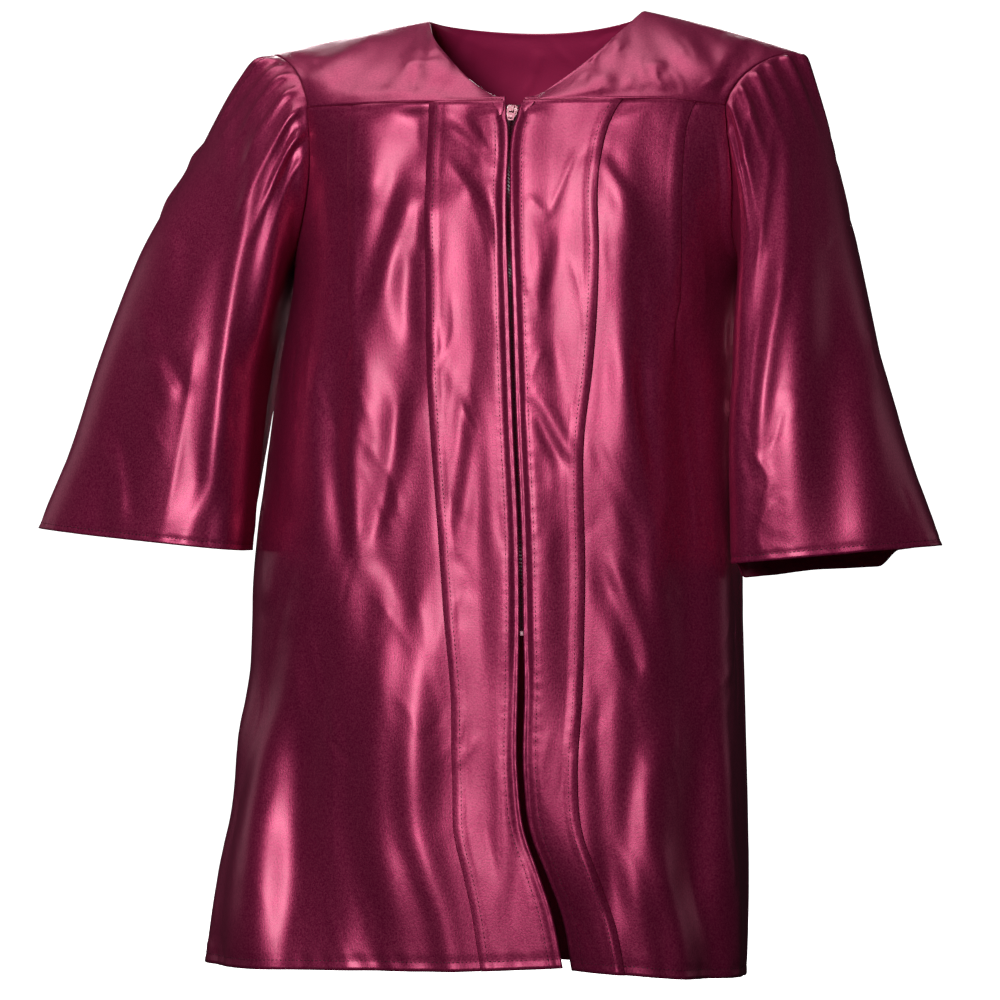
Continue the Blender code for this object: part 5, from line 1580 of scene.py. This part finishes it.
def repeatTree(name, material, boxed):
    # Lines in, one rounded or boxed shape at each step along them out
    tree = bpy.data.node_groups.new(name, "GeometryNodeTree")
    kinds = {"Lines": "Geometry", "pitch": "Float", "size": "Vector",
             "unevenness": "Float", "seed": "Int"}
    for socket, kind in kinds.items():
        tree.interface.new_socket(socket, in_out="INPUT", socket_type="NodeSocket" + kind)
    tree.interface.new_socket("Shapes", in_out="OUTPUT", socket_type="NodeSocketGeometry")
    nodes = Wiring(tree)
    entry = tree.nodes.new("NodeGroupInput")
    given = {socket.name: Wire(tree, socket) for socket in entry.outputs if socket.name}
    curves = nodes.add("GeometryNodeMeshToCurve", {}, {"Mesh": given["Lines"]})
    spaced = nodes.add("GeometryNodeResampleCurve", {"mode": "LENGTH"}, {
        "Curve": curves, "Length": given["pitch"]})
    tangent = nodes.add("GeometryNodeInputTangent")
    turn = nodes.add("FunctionNodeAlignRotationToVector", {"axis": "Z"}, {"Vector": tangent})
    if boxed:
        shape = nodes.add("GeometryNodeMeshCube", {}, {"Size": (1.0, 1.0, 1.0)})
    else:
        shape = nodes.add("GeometryNodeMeshUVSphere", {}, {"Segments": 6, "Rings": 4, "Radius": 0.5})
    limits = {2: 1 - given["unevenness"], 3: 1 + given["unevenness"], "Seed": given["seed"]}
    vary = nodes.add("FunctionNodeRandomValue", {"data_type": "FLOAT"}, limits, 1)
    scale = nodes.add("ShaderNodeVectorMath", {"operation": "SCALE"}, {0: given["size"], "Scale": vary})
    dotted = nodes.add("GeometryNodeInstanceOnPoints", {}, {
        "Points": spaced, "Instance": shape, "Rotation": turn, "Scale": scale})
    real = nodes.add("GeometryNodeRealizeInstances", {}, {"Geometry": dotted})
    done = nodes.add("GeometryNodeSetMaterial", {}, {"Geometry": real, "Material": material})
    leave = tree.nodes.new("NodeGroupOutput")
    tree.links.new(done.socket, leave.inputs[0])
    return tree


def repeatAlong(name, lines, tree, values):
    # Runs a tree on lines of points and keeps the result as a plain mesh
    edges, start = [], 0
    for line in lines:
        edges += [(start + i, start + i + 1) for i in range(len(line) - 1)]
        start += len(line)
    mesh = bpy.data.meshes.new(name + "Lines")
    mesh.from_pydata(np.concatenate(lines).tolist(), edges, [])
    drawn = linked(name + "Lines", mesh)
    steps = drawn.modifiers.new("Along", "NODES")
    steps.node_group = tree
    for item in tree.interface.items_tree:
        if item.name in values:
            steps[item.identifier] = values[item.name]
    graph = bpy.context.evaluated_depsgraph_get()
    plain = bpy.data.meshes.new_from_object(drawn.evaluated_get(graph))
    plain.name = name
    bpy.data.objects.remove(drawn)
    bpy.data.node_groups.remove(tree)
    print(name, len(plain.polygons), "faces")
    return linked(name, plain)


stitching = {"pitch": 0.0034, "size": (0.0007, 0.0005, 0.0021), "unevenness": 0.12, "seed": 5}
stitches = repeatAlong("stitches", sewnLines, repeatTree("stitchRow", thread, False), stitching)

toothDepth = cloth["wall"] / 2 + zipParts["clear"] + zipParts["chainThickness"] / 2
toothRows = []
for side in (left, right):
    shift = zipParts["pitch"] / 2 if side == right else 0.0
    first = zipParts["top"] + zipParts["chainInset"] + shift
    drops = np.arange(first, zipParts["end"] - zipParts["chainInset"], zipParts["pitch"] / 4)
    toothRows.append(tapeLine(side, drops, zipParts["chainHalfWidth"] / 2, toothDepth)[:, 0])
toothing = {"pitch": zipParts["pitch"], "size": zipParts["tooth"], "unevenness": 0.0, "seed": 3}
teeth = repeatAlong("zipTeeth", toothRows, repeatTree("toothRow", toothPlastic, True), toothing)
print("stitches and zip teeth made")

# CAD pieces that stay, with better finishes
rounding = {"width": 0.00018, "segments": 2}
for node, material in (("zip_slider", sliderEnamel), ("pull_tab", tabEnamel), ("zip_stop", stopMetal)):
    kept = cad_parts[node]
    for slotIndex in range(len(kept.material_slots)):
        kept.material_slots[slotIndex].material = material
    softened = kept.modifiers.new("Edges", "BEVEL")
    softened.width = rounding["width"]
    softened.segments = rounding["segments"]
    softened.limit_method = "ANGLE"

# Which body each piece moves with, what it stands for, and the size it was cut to
sheets = (  # piece, nodes, slot, flat width and length, flat area, what it hangs on
    (fronts[left], ("front_left",), "satin", (0.46, 0.68), 0.240, "yoke_front_left"),
    (fronts[right], ("front_right",), "satin", (0.42, 0.68), 0.190, "yoke_front_right"),
    (backCloth, ("back_panel",), "satin", (0.62, 0.66), 0.350, "yoke_back"),
    (yokeCloths[left], ("yoke_front_left",), "satin", (0.22, 0.10), 0.0155, "yoke_back"),
    (yokeCloths[right], ("yoke_front_right",), "satin", (0.22, 0.10), 0.0150, "yoke_back"),
    (yokeBackCloth, ("yoke_back",), "satin", (0.46, 0.13), 0.0430, "back_panel"),
    (sleeves[left], ("sleeve_left",), "satin", (0.56, 0.45), 0.165, "front_left"),
    (sleeves[right], ("sleeve_right",), "satin", (0.56, 0.45), 0.150, "front_right"),
    (cornerCloths[left], ("corner_left",), "satin", (0.012, 0.012), 0.00010, "front_left"),
    (cornerCloths[right], ("corner_right",), "satin", (0.012, 0.012), 0.00010, "front_right"),
    (tapes[left], ("zip_tape_left",), "zip_tape", (0.0125, 0.404), None, "front_left"),
    (tapes[right], ("zip_tape_right",), "zip_tape", (0.0125, 0.404), None, "front_right"),
)
for piece, nodes, slot, flat, area, carrier in sheets:
    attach(piece, "robe")
    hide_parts(*nodes)
    held = "hung" if slot == "satin" else "laid"
for piece, slot in ((stitches, "satin"), (teeth, "zip_tape")):
    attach(piece, "robe")

# Studio: a pale floor and backdrop, soft lights and the camera
studio = {
    "floor": -1.0,
    "radius": 6.5,
    "bend": 1.6,
    "height": 5.0,
    "segments": 64,
    "bendSteps": 14,
    "pale": (0.93, 0.93, 0.93, 1),
    "roughness": 0.9,
    "glow": 1.4,
    "world": (0.010, 0.0085, 0.0090, 1),
}


def makeBackdrop():
    pale = studio["pale"]
    material = finish("paleBackdrop", {
        "Roughness": studio["roughness"], "Base Color": pale,
        "Emission Color": pale, "Emission Strength": studio["glow"]})[0]
    turns = np.linspace(0, math.pi / 2, studio["bendSteps"])
    profile = [(0.0, studio["floor"])]
    profile += [(studio["radius"] + studio["bend"] * math.sin(turn),
                 studio["floor"] + studio["bend"] * (1 - math.cos(turn))) for turn in turns]
    profile += [(studio["radius"] + studio["bend"], studio["height"]),
                (0.0, studio["height"] + studio["bend"])]
    count = studio["segments"]
    turns = np.linspace(0, 2 * math.pi, count, endpoint=False)
    points = [(reach * math.cos(turn), reach * math.sin(turn), z)
              for reach, z in profile for turn in turns]
    faces = []
    for level in range(len(profile) - 1):
        for step in range(count):
            after = (step + 1) % count
            faces.append((level * count + step, level * count + after,
                          (level + 1) * count + after, (level + 1) * count + step))
    mesh = bpy.data.meshes.new("backdrop")
    mesh.from_pydata(points, [], faces)
    mesh.shade_smooth()
    mesh.materials.append(material)
    backdrop = linked("backdrop", mesh)
    backdrop.visible_glossy = False
    backdrop.visible_diffuse = False
    return backdrop


makeBackdrop()

world = bpy.data.worlds.new("studioWorld")
world.use_nodes = True
world.node_tree.nodes["Background"].inputs["Color"].default_value = studio["world"]
bpy.context.scene.world = world
bpy.context.scene.view_settings.view_transform = "Standard"

lamps = (  # name, azimuth and elevation seen from the robe, distance, size, power, colour
    ("key", -4.0, 12.0, 3.8, 0.9, 58.0, (1.0, 0.96, 0.95)),
    ("top", -75.0, 77.0, 3.2, 2.4, 44.0, (1.0, 0.88, 0.91)),
    ("fill", -104.0, 12.0, 3.4, 1.6, 3.5, (1.0, 0.96, 0.95)),
    ("side", 116.0, 10.0, 3.4, 1.6, 3.0, (1.0, 0.96, 0.95)),
    ("rear", 190.0, 20.0, 3.6, 1.6, 60.0, (1.0, 0.97, 0.96)),
)
aim = Vector((-0.028, -0.006, -0.36))


def pointed(spot, target):
    # A place turned so that its -Z looks at the target
    return Matrix.Translation(spot) @ (target - spot).to_track_quat("-Z", "Y").to_matrix().to_4x4()


def towards(azimuth, elevation):
    # Azimuth 0 is straight ahead of the robe and grows towards +X
    turn, rise = math.radians(azimuth), math.radians(elevation)
    return Vector((math.sin(turn) * math.cos(rise), -math.cos(turn) * math.cos(rise), math.sin(rise)))


for name, azimuth, elevation, distance, size, power, colour in lamps:
    light = bpy.data.lights.new(name, "AREA")
    light.size = size
    light.energy = power
    light.color = colour
    spot = aim + towards(azimuth, elevation) * distance
    linked(name, light).matrix_world = pointed(spot, aim)

backward = towards(picture["azimuth"], 0)
upward = Vector((0, 0, 1))
sideways = upward.cross(backward)
lens = bpy.data.cameras.new("camera")
lens.sensor_width = picture["sensor"]
lens.lens = picture["sensor"] * picture["distance"] / picture["frameWidth"]
lens.clip_end = 40.0
camera = linked("camera", lens)
spot = sideways * picture["right"] + upward * picture["up"] + backward * picture["distance"]
turned = Matrix((sideways, upward, backward)).transposed().to_4x4()
camera.matrix_world = Matrix.Translation(spot) @ turned
bpy.context.scene.camera = camera
print("studio made")
